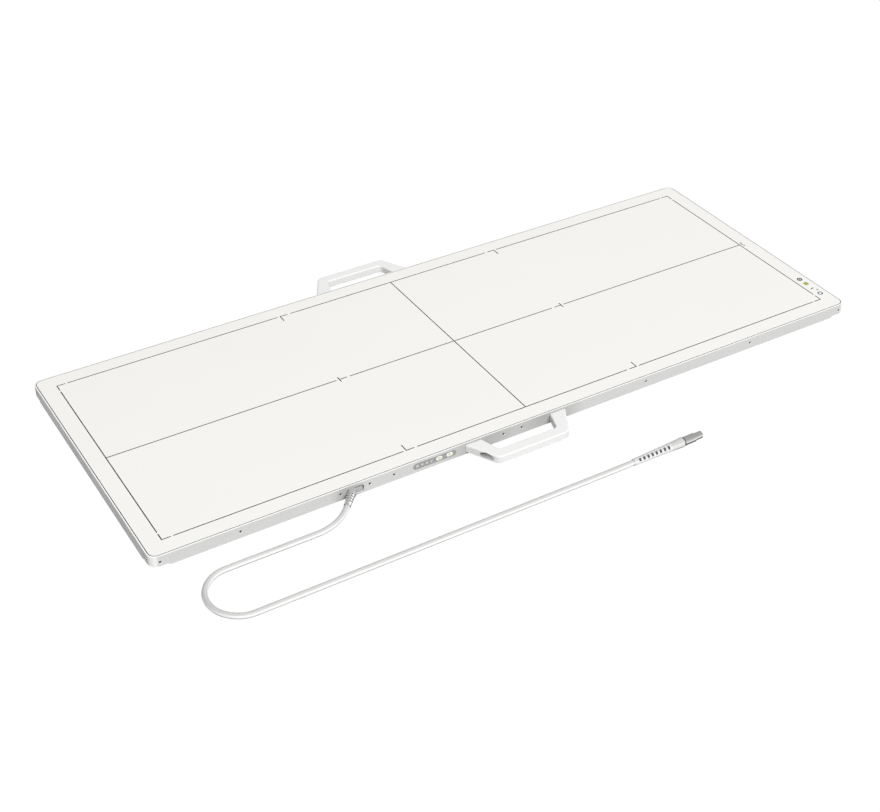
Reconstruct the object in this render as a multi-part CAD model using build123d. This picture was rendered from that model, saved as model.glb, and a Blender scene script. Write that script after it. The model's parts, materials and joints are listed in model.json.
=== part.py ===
from build123d import *
import os
from math import copysign, radians, tan

# A long flat panel x-ray detector lying face up, with two carrying handles and a tethered lead.
# The origin is the centre of the housing's underside. X runs along the length, -Y is the side with
# the controls and the lead, and Z is up. All sizes are in millimetres.

# Field and front plate
field_length = 1219.2
field_width = 430.0
field_border = 27.2
plate_thickness = 2.2
plate_corner_radius = 11.0
plate_gap = 1.3

# Housing
housing_height = 22.0
rim_width = 2.2
rim_drop = 0.3
rim_edge_radius = 0.8
foot_edge = 0.8
ledge_width = 6.0
support_seat_width = 7.0
well_corner_radius = 24.0
relief_leg = 30.0
relief_height = 4.0

# Layers behind the plate
seal_thickness = 0.4
seal_lip_drop = 0.1
foam_thickness = 1.2
scintillator_thickness = 0.6
glass_thickness = 0.7
shield_thickness = 0.5
support_thickness = 2.0
layer_overlap = 4.0
tile_count = 3
tile_gap = 0.2
seat_clearance = 0.3
snug = 0.1
screw_clearance = 0.05

# Rear cover
cover_thickness = 1.6
cover_rim = 4.0
cover_seal_width = 4.0
cover_screw_pitch = 190.0
cover_screw_columns = 7
cover_screw_end_half = 110.0
cover_screw_inset = 8.4
cover_screw_length = 6.0

# Lines printed on the plate round and across the field
mark_width = 1.8
mark_depth = 0.1
corner_dash = 14.0
corner_break = 3.3
third_station = 215.0
third_dash = 14.0
third_tick = 7.0
third_tick_inward = 15.0
third_break = 5.0
arrow_offset = 4.6
arrow_half = 7.5
arrow_slant = 22.0

# Screws in the side walls
screw_diameter = 3.0
screw_head_diameter = 5.4
screw_sides = 8
side_screw_height = 12.0
side_screw_stations = [-503.4, -253.3, -60.3, -26.7, 212.5, 428.5]
tie_block_length = 14.0
tie_block_depth = 6.0
tie_block_height = 6.0

# Corner caps
cap_leg = 30.0
cap_thickness = 3.0
cap_top = 17.5
cap_screw_inset = 14.7
cap_screw_height = 11.0
cap_screw_length = 10.0
bracket_leg = 52.0
bracket_thickness = 6.0
bracket_height = 8.0

# Handles
handle_centre = -37.5
handle_bottom = 5.0
handle_thickness = 13.5
handle_foot_half = 91.5
handle_inner_half = 62.5
handle_reach = 51.5
handle_grip = 18.5
handle_outer_slant = 28.3
handle_inner_slant = 17.2
handle_outer_radius = 14.0
handle_inner_radius = 8.0
handle_edge_radius = 2.2
handle_foot_edge = 1.4
handle_pad_thickness = 0.6
handle_pad_inset = 0.5
handle_bore_half = 74.0
handle_bore_diameter = 11.4
handle_screw_diameter = 5.0
handle_screw_head = 8.5
handle_screw_head_height = 5.0
handle_screw_seat = 8.0
handle_screw_sides = 12
insert_diameter = 8.0
insert_length = 8.0

# Control strip
strip_centre = -183.1
strip_length = 75.2
strip_height = 11.0
strip_level = 11.8
window_thickness = 1.5
window_ledge = 0.9
button_stations = [7.6, 26.0]
button_width = 11.4
button_height = 7.0
button_gap = 0.3
button_flange = 0.8
button_flange_thickness = 0.8
button_travel = 0.6
button_proud = 0.3
stem_width = 6.0
stem_height = 3.0
switch_height = 0.9
switch_width = 4.5
light_stations = [-30.5, -22.0, -14.0, -6.0]
light_diameter = 2.6
light_sides = 12
control_board_length = 84.0
control_board_height = 11.0
board_thickness = 1.6

# Socket for the lead
socket_centre = -318.8
socket_level = 9.75
socket_length = 28.5
socket_height = 13.0
socket_corner_radius = 4.0
socket_depth = 5.0
socket_body_length = 22.0
socket_body_height = 9.0
socket_body_bottom = 5.0
socket_body_reach = 6.0
socket_ear_thickness = 4.0
socket_screw_spacing = 48.8
contact_columns = 4
contact_pitch = 4.4
contact_row_pitch = 4.0
contact_diameter = 1.0
contact_sides = 6
contact_reach = 2.0

# Blank cover beside the socket
blank_centre = -396.5
blank_length = 55.0
blank_height = 5.4
blank_level = 11.2
blank_thickness = 1.2

# Plug and lead
plug_clearance = 0.3
plug_sink = 0.8
plug_edge = 0.4
plug_travel = 8.0
hood_width = 13.2
hood_root_width = 16.4
hood_chamfer = 3.8
boot_length = 24.0
boot_root_radius = 6.2
boot_tip_radius = 5.2
boot_slots = 4
boot_slot_first = 2.2
boot_slot_pitch = 4.6
boot_slot_width = 1.3
cable_diameter = 9.0

# Route of the lead's centreline, from the middle of the socket at the wall: it leaves the boot at a
# slant, comes down to the floor, runs back along the panel, turns round and runs out straight.
cable_route = [
    (-25.9, -22.4, 6.7),
    (-40.1, -37.6, 4.5),
    (-73.9, -52.3, 4.5),
    (-252.2, -52.6, 4.5),
    (-281.2, -81.6, 4.5),
    (-281.2, -123.1, 4.5),
    (-252.2, -152.1, 4.5),
    (358.8, -152.2, 4.5),
    (392.8, -152.4, 5.45),
]

# Connector at the lead's far end
sleeve_boot_length = 70.0
body_length = 93.0
body_edge = 1.0
body_tail_radius = 5.37
grip_front_radius = 6.9
body_front_radius = 8.0
grip_slots = 8
grip_slot_pitch = 7.6
grip_slot_first = 10.0
grip_slot_width = 3.8
slot_depth = 1.4
slot_bridge = 3.2
lock_travel = 1.5
lock_length = 20.2
lock_radius = 7.25
lock_collar_length = 2.4
lock_step = 0.25
stem_radius = 5.0
lock_running_gap = 0.3
nose_length = 13.4
nose_radius = 5.9
nose_wall = 1.0
nose_recess = 3.4
contact_pins = 8
pin_circle_radius = 3.0
pin_diameter = 0.9

# Boards and what they stand on
standoff_height = 4.0
standoff_diameter = 6.0
standoff_inset = 7.0
post_diameter = 8.0
post_columns = 6
post_pitch = 200.0
post_rows = [-20.0, 80.0]
chip_height = 2.4
thermal_pad_thickness = 0.5
flex_thickness = 0.3
flex_width = 50.0
flex_count = 4
flex_reach = 3.0
ribbon_width = 14.0
ribbon_clearance = 1.0

os.makedirs("parts", exist_ok=True)


# Sizes worked out from those above
plate_length = field_length + 2 * field_border
plate_width = field_width + 2 * field_border
plate_margin = plate_gap + rim_width
housing_length = plate_length + 2 * plate_margin
housing_width = plate_width + 2 * plate_margin
housing_corner_radius = plate_corner_radius + plate_margin
rim_top = housing_height - rim_drop
plate_bottom = housing_height - plate_thickness
ledge_level = plate_bottom - seal_thickness
foam_bottom = plate_bottom - foam_thickness
scintillator_bottom = foam_bottom - scintillator_thickness
glass_bottom = scintillator_bottom - glass_thickness
support_top = glass_bottom - shield_thickness
support_bottom = support_top - support_thickness
stack_length = plate_length - 2 * ledge_width
stack_width = plate_width - 2 * ledge_width
stack_corner_radius = plate_corner_radius
well_length = stack_length - 2 * support_seat_width
well_width = stack_width - 2 * support_seat_width
wall_thickness = (housing_width - well_width) / 2
seal_level = cover_thickness + seal_thickness
screw_cone = (screw_head_diameter - screw_diameter) / 2
tile_length = field_length / tile_count
board_top = support_bottom - standoff_height
board_bottom = board_top - board_thickness
chip_bottom = board_bottom - chip_height
lock_gap = lock_travel + lock_running_gap
button_pocket_depth = window_thickness + button_flange_thickness + button_travel + seat_clearance

# The near wall's outer face: local x runs to the right seen from outside, y is up, z points outwards
near_wall = Plane(origin=(0, -housing_width / 2, 0), x_dir=(1, 0, 0), z_dir=(0, -1, 0))
end_wall = Plane(origin=(-housing_length / 2, 0, 0), x_dir=(0, -1, 0), z_dir=(-1, 0, 0))
underside = Plane(origin=(0, 0, 0), x_dir=(1, 0, 0), z_dir=(0, 0, -1))


def slab(length, width, radius, low, high):
    """A flat slab with rounded corners, centred on the housing, from one level to another."""
    return Pos(0, 0, low) * extrude(RectangleRounded(length, width, radius), high - low)


def trimmed_slab(length, width, leg, low, high):
    """A flat slab whose corners are cut off straight."""
    outline = chamfer(Rectangle(length, width).vertices(), leg)
    return Pos(0, 0, low) * extrude(outline, high - low)


def block(low, high):
    """A box between two opposite corners."""
    size = [b - a for a, b in zip(low, high)]
    return Pos(*low) * Box(*size, align=(Align.MIN, Align.MIN, Align.MIN))


def turned(points):
    """A solid turned about Z from the half profile given as radius and height."""
    return revolve(make_face(Plane.XZ * Polyline(*points, close=True)), Axis.Z)


def pill(length, height):
    """A strip with round ends."""
    return SlotOverall(length, height)


def rod(sides, *steps):
    """A straight rod with flat sides, from the radius across its corners and the level of each step."""
    body = Part()
    for (radius, low), (next_radius, high) in zip(steps, steps[1:]):
        if high > low:
            lower = Pos(0, 0, low) * RegularPolygon(radius, sides)
            upper = Pos(0, 0, high) * RegularPolygon(next_radius, sides)
            body += loft([lower, upper])
    return body


def countersunk_screw(length):
    """A countersunk screw with its face at the origin, pointing down."""
    head = screw_head_diameter / 2
    shank = screw_diameter / 2
    return rod(screw_sides, (shank, -length), (shank, -screw_cone), (head, 0))


def screw_hole(depth):
    """The hole that a countersunk screw sits in, open at the top."""
    head = screw_head_diameter / 2 + screw_clearance
    shank = screw_diameter / 2 + screw_clearance
    return rod(screw_sides, (shank, -depth), (shank, -screw_cone), (head, 0), (head, snug))


def four_ways(solid):
    """The copies of a corner solid in all four corners."""
    pair = [solid, mirror(solid, about=Plane.XZ)]
    return pair + [mirror(piece, about=Plane.YZ) for piece in pair]


def save(name, *solids):
    """Writes one sub-part, of one solid or of several alike."""
    shape = solids[0] if len(solids) == 1 else Compound(children=list(solids))
    export_step(shape, f"parts/{name}.step")


def flat_solids(shape):
    """The separate solids of a shape or of a list of shapes."""
    shapes = shape if isinstance(shape, list) else [shape]
    return [solid for item in shapes for solid in item.solids()]


# Places of the fasteners
side_screw_places = [(x, side_screw_height) for x in side_screw_stations]
socket_screw_places = [
    (socket_centre + side * socket_screw_spacing / 2, side_screw_height) for side in (-1, 1)
]
cap_screw_x = housing_length / 2 - cap_screw_inset
cap_screw_y = housing_width / 2 - cap_screw_inset
cover_screw_y = housing_width / 2 - cover_screw_inset
cover_screw_x = housing_length / 2 - cover_screw_inset
cover_screw_places = [
    ((column - (cover_screw_columns - 1) / 2) * cover_screw_pitch, side * cover_screw_y)
    for side in (-1, 1)
    for column in range(cover_screw_columns)
] + [(side * cover_screw_x, row * cover_screw_end_half) for side in (-1, 1) for row in (-1, 1)]


def frame_ring():
    """The frame's section all the way round: rim, ledge for the plate, seat for the support plate
    and rebate for the rear cover, with the lower corners cut away."""
    upper = slab(housing_length, housing_width, housing_corner_radius, relief_height, rim_top)
    upper = fillet(upper.faces().sort_by(Axis.Z)[-1].edges(), rim_edge_radius)
    lower = trimmed_slab(housing_length, housing_width, relief_leg, 0, relief_height)
    lower = chamfer(lower.faces().sort_by(Axis.Z)[0].edges(), foot_edge)
    ring = upper + lower
    ring -= slab(
        plate_length + 2 * plate_gap,
        plate_width + 2 * plate_gap,
        plate_corner_radius + plate_gap,
        ledge_level,
        housing_height,
    )
    ring -= slab(stack_length, stack_width, stack_corner_radius, support_bottom, housing_height)
    ring -= slab(well_length, well_width, well_corner_radius, 0, support_bottom)
    rebate_length = housing_length - 2 * cover_rim
    rebate_width = housing_width - 2 * cover_rim
    ring -= trimmed_slab(rebate_length, rebate_width, cover_leg(0), 0, cover_thickness)
    ring -= seal_outline(0)
    ring -= corner_recess()
    for place in cover_screw_places:
        ring -= underside * Pos(place[0], -place[1]) * screw_hole(cover_screw_length + snug)
    return ring


def cover_leg(clearance):
    """The corner cut of the rear cover that leaves an even rim along the relief's slant."""
    shrink = 2 * (cover_rim + clearance)
    slant_rim = (cover_rim + clearance) * (2 ** 0.5)
    return relief_leg - shrink + slant_rim


def corner_shell(leg, inner, bottom, top):
    """A rounded shell along the housing's four corners, cut to the legs' length."""
    shell = slab(housing_length, housing_width, housing_corner_radius, bottom, top) - slab(
        housing_length - 2 * inner,
        housing_width - 2 * inner,
        housing_corner_radius - inner,
        bottom,
        top,
    )
    corner = block(
        (housing_length / 2 - leg, housing_width / 2 - leg, bottom),
        (housing_length / 2, housing_width / 2, top),
    )
    return shell & (Part() + four_ways(corner))


def corner_recess():
    """The recess that the corner caps sit in, with their screw holes."""
    recess = corner_shell(cap_leg + snug, cap_thickness + snug, relief_height, cap_top + snug)
    hole = screw_hole(cap_screw_length + snug)
    holes = [
        near_wall * Pos(cap_screw_x, cap_screw_height) * hole,
        end_wall * Pos(cap_screw_y, cap_screw_height) * hole,
    ]
    for tool in holes:
        recess += Part() + four_ways(tool)
    return recess


def corner_caps():
    """Four moulded caps that guard the corners of the frame."""
    shell = corner_shell(cap_leg, cap_thickness, relief_height, cap_top)
    hole = screw_hole(cap_screw_length + snug)
    for tool in (
        near_wall * Pos(cap_screw_x, cap_screw_height) * hole,
        end_wall * Pos(cap_screw_y, cap_screw_height) * hole,
    ):
        shell -= Part() + four_ways(tool)
    return flat_solids(shell)


def rail_wedge(length, width, depth):
    """The mitred region of the rail along the near side of a frame of the given length and width."""
    outline = Polyline(
        (-length / 2, -width / 2),
        (length / 2, -width / 2),
        (length / 2 - depth, -width / 2 + depth),
        (-length / 2 + depth, -width / 2 + depth),
        close=True,
    )
    return extrude(make_face(outline), housing_height)


def wall_cutters():
    """What the near wall is cut with: the control strip, the socket, the blank cover and screws."""
    strip = near_wall * Pos(strip_centre, strip_level)
    cut = extrude(strip * pill(strip_length + 2 * snug, strip_height + 2 * snug), -window_thickness)
    inner = pill(strip_length - 2 * window_ledge, strip_height - 2 * window_ledge)
    cut += extrude(strip * inner, -button_pocket_depth)
    for station in button_stations:
        opening = Pos(station, 0) * Rectangle(stem_width + 2 * seat_clearance, socket_opening_height())
        cut += extrude(strip * opening, -wall_thickness)
    for station in light_stations:
        opening = Pos(station, 0) * RegularPolygon(light_diameter / 2 + screw_clearance, light_sides)
        cut += extrude(strip * opening, -wall_thickness)
    cut += extrude(
        near_wall
        * Pos(socket_centre, socket_level)
        * RectangleRounded(socket_length, socket_height, socket_corner_radius),
        -socket_depth,
    )
    cut += extrude(
        near_wall
        * Pos(socket_centre, socket_body_bottom + socket_body_height / 2)
        * Rectangle(socket_body_length + 2 * snug, socket_body_height + 2 * snug),
        -wall_thickness,
    )
    cut += extrude(
        near_wall
        * Pos(blank_centre, blank_level)
        * RectangleRounded(blank_length + 2 * snug, blank_height + 2 * snug, 1 + snug),
        -blank_thickness,
    )
    for place in socket_screw_places:
        cut += near_wall * Pos(*place) * screw_hole(wall_thickness + snug)
    return cut


def socket_opening_height():
    """The height of the way through the wall behind a button, clear of the support plate's seat."""
    return stem_height + 2 * seat_clearance


def shared_wall_cutters():
    """What both long walls are cut with: the side screws and the handles' threaded inserts."""
    hole = screw_hole(wall_thickness + snug)
    cut = Part() + [near_wall * Pos(*place) * hole for place in side_screw_places]
    socket = extrude(
        RegularPolygon(insert_diameter / 2 + screw_clearance, handle_screw_sides),
        -(insert_length + snug),
    )
    for side in (-1, 1):
        cut += near_wall * Pos(handle_centre + side * handle_bore_half, handle_level()) * socket
    return cut


def handle_level():
    """The height of the handles' mid plane and of their screws."""
    return handle_bottom + handle_thickness / 2


def rails():
    """The four mitred rails of the frame, by name."""
    ring = frame_ring()
    long_wedge = rail_wedge(housing_length, housing_width, 2 * well_corner_radius)
    short_wedge = Rot(0, 0, -90) * rail_wedge(housing_width, housing_length, 2 * well_corner_radius)
    shared = shared_wall_cutters()
    near = (ring & long_wedge) - shared - wall_cutters()
    far = (ring & mirror(long_wedge, about=Plane.XZ)) - mirror(shared, about=Plane.XZ)
    left = ring & short_wedge
    return {
        "near_rail": near,
        "far_rail": far,
        "left_rail": left,
        "right_rail": mirror(left, about=Plane.YZ),
    }


def plate_ring(length, width, radius, band, low, high):
    """A flat ring, such as a seal."""
    return slab(length, width, radius, low, high) - slab(
        length - 2 * band, width - 2 * band, max(radius - band, band), low, high
    )


def plate_seal():
    """The gasket under the plate's edge, with a lip that stands up in the gap round the plate."""
    reach = plate_gap - snug
    length = plate_length + 2 * reach
    width = plate_width + 2 * reach
    radius = plate_corner_radius + reach
    flat = plate_ring(length, width, radius, ledge_width - 1 + reach, ledge_level, plate_bottom)
    lip = plate_ring(length, width, radius, reach - snug, ledge_level, rim_top - seal_lip_drop)
    return flat + lip


def strip_between(start, end, station, along_x=True):
    """The flat outline of one printed line, between two places along X or along Y."""
    length = abs(end - start)
    middle = (start + end) / 2
    if along_x:
        return Pos(middle, station) * Rectangle(length, mark_width)
    return Pos(station, middle) * Rectangle(mark_width, length)


def field_marks():
    """The printed lines: the field's outline and both middle lines, broken near the corners and at
    the two stations along the length, where short ticks stand, and a small arrow at one end."""
    half_x = field_length / 2
    half_y = field_width / 2
    reach = half_x + mark_width / 2
    side = half_y + mark_width / 2
    strips = [strip_between(-side, side, 0, along_x=False)]
    for y in (-half_y, 0, half_y):
        inner = third_station - third_dash
        strips.append(strip_between(third_break - inner, inner - third_break, y))
        for way in (-1, 1):
            outer = half_x - corner_dash - corner_break if y else half_x
            strips.append(strip_between(way * (third_station + third_break), way * outer, y))
            strips.append(strip_between(way * inner, way * (third_station + mark_width / 2), y))
            if y:
                inward = y - copysign(third_tick_inward, y)
                strips.append(strip_between(y, inward, way * third_station, along_x=False))
                strips.append(strip_between(way * (half_x - corner_dash), way * reach, y))
            else:
                strips.append(
                    strip_between(-third_tick, third_tick, way * third_station, along_x=False)
                )
    for x in (-half_x, half_x):
        middle = half_y - corner_dash - corner_break
        strips.append(strip_between(-middle, middle, x, along_x=False))
        for way in (-1, 1):
            strips.append(strip_between(way * (half_y - corner_dash), way * side, x, along_x=False))
    for way in (-1, 1):
        arm = Pos(0, way * arrow_half / 2) * Rectangle(mark_width, arrow_half)
        strips.append(Pos(half_x + arrow_offset, 0) * Rot(0, 0, -way * arrow_slant) * arm)
    outline = Sketch() + strips
    return Pos(0, 0, housing_height - mark_depth) * extrude(outline, mark_depth)


def front_plate(marks):
    """The x-ray transparent face, a thin stiff sheet with softened edges, inlaid with the marks."""
    plate = slab(plate_length, plate_width, plate_corner_radius, plate_bottom, housing_height)
    return chamfer(plate.faces().sort_by(Axis.Z)[-1].edges(), snug) - marks


def rear_cover():
    """The screwed plate that closes the back."""
    length = housing_length - 2 * (cover_rim + snug)
    width = housing_width - 2 * (cover_rim + snug)
    cover = trimmed_slab(length, width, cover_leg(snug), 0, cover_thickness)
    for place in cover_screw_places:
        cover -= underside * Pos(place[0], -place[1]) * screw_hole(cover_screw_length)
    return cover


def seal_outline(clearance):
    """The flat space of the rear seal, with the rails' inner edge inside it."""
    length = well_length + 2 * (cover_seal_width - clearance)
    width = well_width + 2 * (cover_seal_width - clearance)
    return slab(length, width, well_corner_radius, cover_thickness, seal_level)


def rear_seal():
    """The flat seal between the rear cover and the rails, inside the line of screws."""
    return seal_outline(snug) - slab(
        well_length, well_width, well_corner_radius, cover_thickness, seal_level
    )


def support_plate():
    """The stiff plate that carries the sensor above and the boards below, with slots for the films."""
    length = stack_length - 2 * seat_clearance
    width = stack_width - 2 * seat_clearance
    plate = slab(length, width, stack_corner_radius, support_bottom, support_top)
    for slot in flex_places(flex_width + 2 * seat_clearance):
        plate -= slot
    return plate


def flex_line():
    """Where the sensor films go down through the support plate, on the far side."""
    return field_width / 2 + layer_overlap + flex_reach


def flex_places(width):
    """The slots that the sensor films pass through, evenly spread along each tile."""
    pitch = tile_length / flex_count
    slots = []
    for number in range(tile_count * flex_count):
        centre = (number - (tile_count * flex_count - 1) / 2) * pitch
        slots.append(
            block(
                (centre - width / 2, flex_line() - seat_clearance, support_bottom),
                (centre + width / 2, flex_line() + flex_thickness + seat_clearance, support_top),
            )
        )
    return slots


def sensor_films():
    """Thin films from the sensor's edge through the support plate to the readout boards."""
    pitch = tile_length / flex_count
    edge = field_width / 2 + layer_overlap
    films = []
    for number in range(tile_count * flex_count):
        centre = (number - (tile_count * flex_count - 1) / 2) * pitch
        left = centre - flex_width / 2
        right = centre + flex_width / 2
        upper = block(
            (left, edge - flex_reach, scintillator_bottom),
            (right, flex_line() + flex_thickness, scintillator_bottom + flex_thickness),
        )
        drop = block(
            (left, flex_line(), board_top),
            (right, flex_line() + flex_thickness, scintillator_bottom),
        )
        lower = block(
            (left, readout_edge() - flex_reach, board_top),
            (right, flex_line(), board_top + flex_thickness),
        )
        films.append((upper + drop + lower).solids()[0])
    return films


def readout_edge():
    """The far edge of the readout boards."""
    return flex_line() - 2 * flex_reach


def sensor_tiles():
    """The glass sensor panels, side by side under the scintillator."""
    side = field_width / 2 + layer_overlap
    half = (tile_length - tile_gap) / 2
    return [
        block((middle - half, -side, glass_bottom), (middle + half, side, scintillator_bottom))
        for middle in tile_middles()
    ]


def tile_middles():
    """The middles of the sensor panels along the length."""
    return [(number - (tile_count - 1) / 2) * tile_length for number in range(tile_count)]


# Boards by name, each as its middle, length and width
readout_length = tile_length - 40
readout_width = 62.0
boards = {
    "main_board": [(-325.0, -130.0, 230.0, 140.0)],
    "power_board": [(-95.0, -155.0, 150.0, 90.0)],
    "gate_boards": [(side * 580.0, -30.0, 42.0, 280.0) for side in (-1, 1)],
    "readout_boards": [
        (middle, readout_edge() - readout_width / 2, readout_length, readout_width)
        for middle in tile_middles()
    ],
}


def board(x, y, length, width):
    """One circuit board."""
    return Pos(x, y, board_bottom) * extrude(Rectangle(length, width), board_thickness)


def standoffs():
    """The short pillars that hold each board under the support plate, one near each corner."""
    pillars = []
    for x, y, length, width in [place for places in boards.values() for place in places]:
        for side in (-1, 1):
            for end in (-1, 1):
                place = (
                    x + end * (length / 2 - standoff_inset),
                    y + side * (width / 2 - standoff_inset),
                    board_top,
                )
                pillar = extrude(RegularPolygon(standoff_diameter / 2, 6), standoff_height)
                pillars.append(Pos(*place) * pillar)
    return pillars


def support_posts():
    """The posts that keep the rear cover from being pressed in."""
    height = support_bottom - cover_thickness
    post = extrude(RegularPolygon(post_diameter / 2, 8), height)
    return [
        Pos((column - (post_columns - 1) / 2) * post_pitch, row, cover_thickness) * post
        for row in post_rows
        for column in range(post_columns)
    ]


# Chips on the boards: which board, offset from its middle, length and width
chip_places = [
    ("main_board", -40.0, 20.0, 35.0, 35.0),
    ("main_board", 20.0, 25.0, 27.0, 27.0),
    ("main_board", 20.0, -25.0, 20.0, 14.0),
    ("main_board", -45.0, -35.0, 24.0, 18.0),
    ("power_board", -35.0, 0.0, 38.0, 30.0),
    ("power_board", 20.0, 0.0, 38.0, 30.0),
]


def chips():
    """The parts that give off heat, on the boards' rear faces."""
    pieces = []
    for name, dx, dy, length, width in chip_places:
        x, y = boards[name][0][:2]
        corner = (x + dx - length / 2, y + dy - width / 2, chip_bottom)
        pieces.append(block(corner, (corner[0] + length, corner[1] + width, board_bottom)))
    return pieces


# Blocks that lead the heat into the rear cover: which board, length and width
spreader_places = [("main_board", 130.0, 100.0), ("power_board", 110.0, 50.0)]


def spreader(low, high):
    """Flat blocks between two levels, under the chips of each warm board."""
    pieces = []
    for name, length, width in spreader_places:
        x, y = boards[name][0][:2]
        corner = (x - length / 2, y - width / 2, low)
        pieces.append(block(corner, (corner[0] + length, corner[1] + width, high)))
    return pieces


def tie_blocks():
    """The tapped blocks under the support plate that the side screws reach."""
    pieces = []
    for x in side_screw_stations:
        inner = -well_width / 2
        tie = block(
            (x - tie_block_length / 2, inner, support_bottom - tie_block_height),
            (x + tie_block_length / 2, inner + tie_block_depth, support_bottom),
        )
        tie -= near_wall * Pos(x, side_screw_height) * screw_hole(wall_thickness + tie_block_depth)
        pieces += [tie, mirror(tie, about=Plane.XZ)]
    return pieces


def corner_brackets():
    """The angles that hold the rails together inside the corners."""
    low = seal_level
    high = seal_level + bracket_height
    length = well_length - 2 * snug
    width = well_width - 2 * snug
    radius = well_corner_radius - snug
    shell = slab(length, width, radius, low, high) - slab(
        length - 2 * bracket_thickness,
        width - 2 * bracket_thickness,
        radius - bracket_thickness,
        low,
        high,
    )
    corner = block(
        (well_length / 2 - bracket_leg, well_width / 2 - bracket_leg, low),
        (well_length / 2, well_width / 2, high),
    )
    return flat_solids(shell & (Part() + four_ways(corner)))


def side_screws():
    """The countersunk screws along both long walls."""
    screw = countersunk_screw(wall_thickness + tie_block_depth - snug)
    row = [near_wall * Pos(*place) * screw for place in side_screw_places]
    return row + [mirror(piece, about=Plane.XZ) for piece in row]


def cap_screws():
    """The screws of the corner caps, one in each leg."""
    screw = countersunk_screw(cap_screw_length)
    return four_ways(near_wall * Pos(cap_screw_x, cap_screw_height) * screw) + four_ways(
        end_wall * Pos(cap_screw_y, cap_screw_height) * screw
    )


def cover_screws():
    """The screws of the rear cover."""
    screw = countersunk_screw(cover_screw_length - snug)
    return [underside * Pos(place[0], -place[1]) * screw for place in cover_screw_places]


def near_handle():
    """A moulded handle: two slanted arms and a straight grip, with bores for its screws."""
    run_out = handle_reach * tan(radians(handle_outer_slant))
    inner_depth = handle_reach - handle_grip
    run_in = inner_depth * tan(radians(handle_inner_slant))
    points = [
        (-handle_foot_half, 0),
        (-handle_foot_half + run_out, -handle_reach),
        (handle_foot_half - run_out, -handle_reach),
        (handle_foot_half, 0),
        (handle_inner_half, 0),
        (handle_inner_half - run_in, -inner_depth),
        (-handle_inner_half + run_in, -inner_depth),
        (-handle_inner_half, 0),
    ]
    outline = make_face(Polyline(*points, close=True))
    outer = outline.vertices().sort_by(Axis.Y)[:2]
    outline = fillet(outer, handle_outer_radius)
    inner = [v for v in outline.vertices() if abs(v.Y + inner_depth) < snug]
    outline = fillet(inner, handle_inner_radius)
    start = -housing_width / 2 - handle_pad_thickness
    body = Pos(handle_centre, start, handle_bottom) * extrude(outline, handle_thickness)
    rim = body.faces().sort_by(Axis.Z)[-1].edges()
    body = fillet([edge for edge in rim if edge.center().Y < start - snug], handle_edge_radius)
    rim = body.faces().sort_by(Axis.Z)[0].edges()
    body = chamfer([edge for edge in rim if edge.center().Y < start - snug], handle_foot_edge)
    for side in (-1, 1):
        axis = near_wall * Pos(handle_centre + side * handle_bore_half, handle_level())
        shank = RegularPolygon(handle_screw_diameter / 2 + seat_clearance, handle_screw_sides)
        body -= extrude(axis * shank, handle_seat_level() + snug)
        seat = axis * Pos(0, 0, handle_seat_level())
        body -= extrude(seat * Circle(handle_bore_diameter / 2), handle_reach)
    return body


def handle_seat_level():
    """How far from the wall the screw heads press on a handle."""
    return handle_pad_thickness + handle_screw_seat


def handle_pads():
    """The thin pads between a handle's feet and the wall."""
    pads = []
    for side in (-1, 1):
        low = handle_centre + side * (handle_foot_half + handle_inner_half) / 2
        width = handle_foot_half - handle_inner_half - 2 * handle_pad_inset
        face = near_wall * Pos(low, handle_level())
        pad = extrude(
            face * Rectangle(width, handle_thickness - 2 * handle_pad_inset), handle_pad_thickness
        )
        bore = near_wall * Pos(handle_centre + side * handle_bore_half, handle_level())
        hole = RegularPolygon(handle_screw_diameter / 2 + seat_clearance, handle_screw_sides)
        pad -= extrude(bore * hole, handle_pad_thickness)
        pads.append(pad)
    return pads


def handle_fastenings():
    """The cap screws of a handle and the threaded inserts that they turn into."""
    shank = handle_screw_diameter / 2
    head = handle_screw_head / 2
    seat = handle_seat_level()
    screw = rod(handle_screw_sides, (shank, -insert_length), (shank, seat))
    screw += rod(handle_screw_sides, (head, seat), (head, seat + handle_screw_head_height))
    insert = rod(handle_screw_sides, (insert_diameter / 2, -insert_length), (insert_diameter / 2, 0))
    inner = shank + screw_clearance
    insert -= rod(handle_screw_sides, (inner, -insert_length), (inner, 0))
    places = [
        near_wall * Pos(handle_centre + side * handle_bore_half, handle_level()) for side in (-1, 1)
    ]
    return [place * screw for place in places], [place * insert for place in places]


def strip_place(station=0.0, depth=0.0):
    """A place on the control strip, from its middle and from the wall's face inwards."""
    return near_wall * Pos(strip_centre + station, strip_level, -depth)


def control_window():
    """The strip's window, flush with the wall, with openings for the buttons and the lights."""
    window = extrude(strip_place() * pill(strip_length, strip_height), -window_thickness)
    hole = pill(button_width + 2 * button_gap, button_height + 2 * button_gap)
    for station in button_stations:
        window -= extrude(strip_place(station) * hole, -window_thickness)
    for station in light_stations:
        spot = RegularPolygon(light_diameter / 2 + screw_clearance, light_sides)
        window -= extrude(strip_place(station) * spot, -window_thickness)
    return window


def button(station):
    """An oval button with the flange that keeps it behind the window and the stem that presses."""
    cap = extrude(
        strip_place(station, -button_proud) * pill(button_width, button_height),
        -(window_thickness + button_proud),
    )
    cap = chamfer(cap.faces().sort_by(Axis.Y)[0].edges(), button_proud * 0.8)
    flange = Rectangle(button_width + 2 * button_flange, button_height + 2 * button_flange)
    cap += extrude(strip_place(station, window_thickness) * flange, -button_flange_thickness)
    stem = wall_thickness - window_thickness - switch_height - button_travel - snug
    section = Rectangle(stem_width, stem_height)
    cap += extrude(strip_place(station, window_thickness) * section, -stem)
    return cap


def switches():
    """The small switches on the control board, one behind each button."""
    reach = Rectangle(switch_width, stem_height)
    return [
        extrude(strip_place(station, wall_thickness) * reach, switch_height)
        for station in button_stations
    ]


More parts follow.
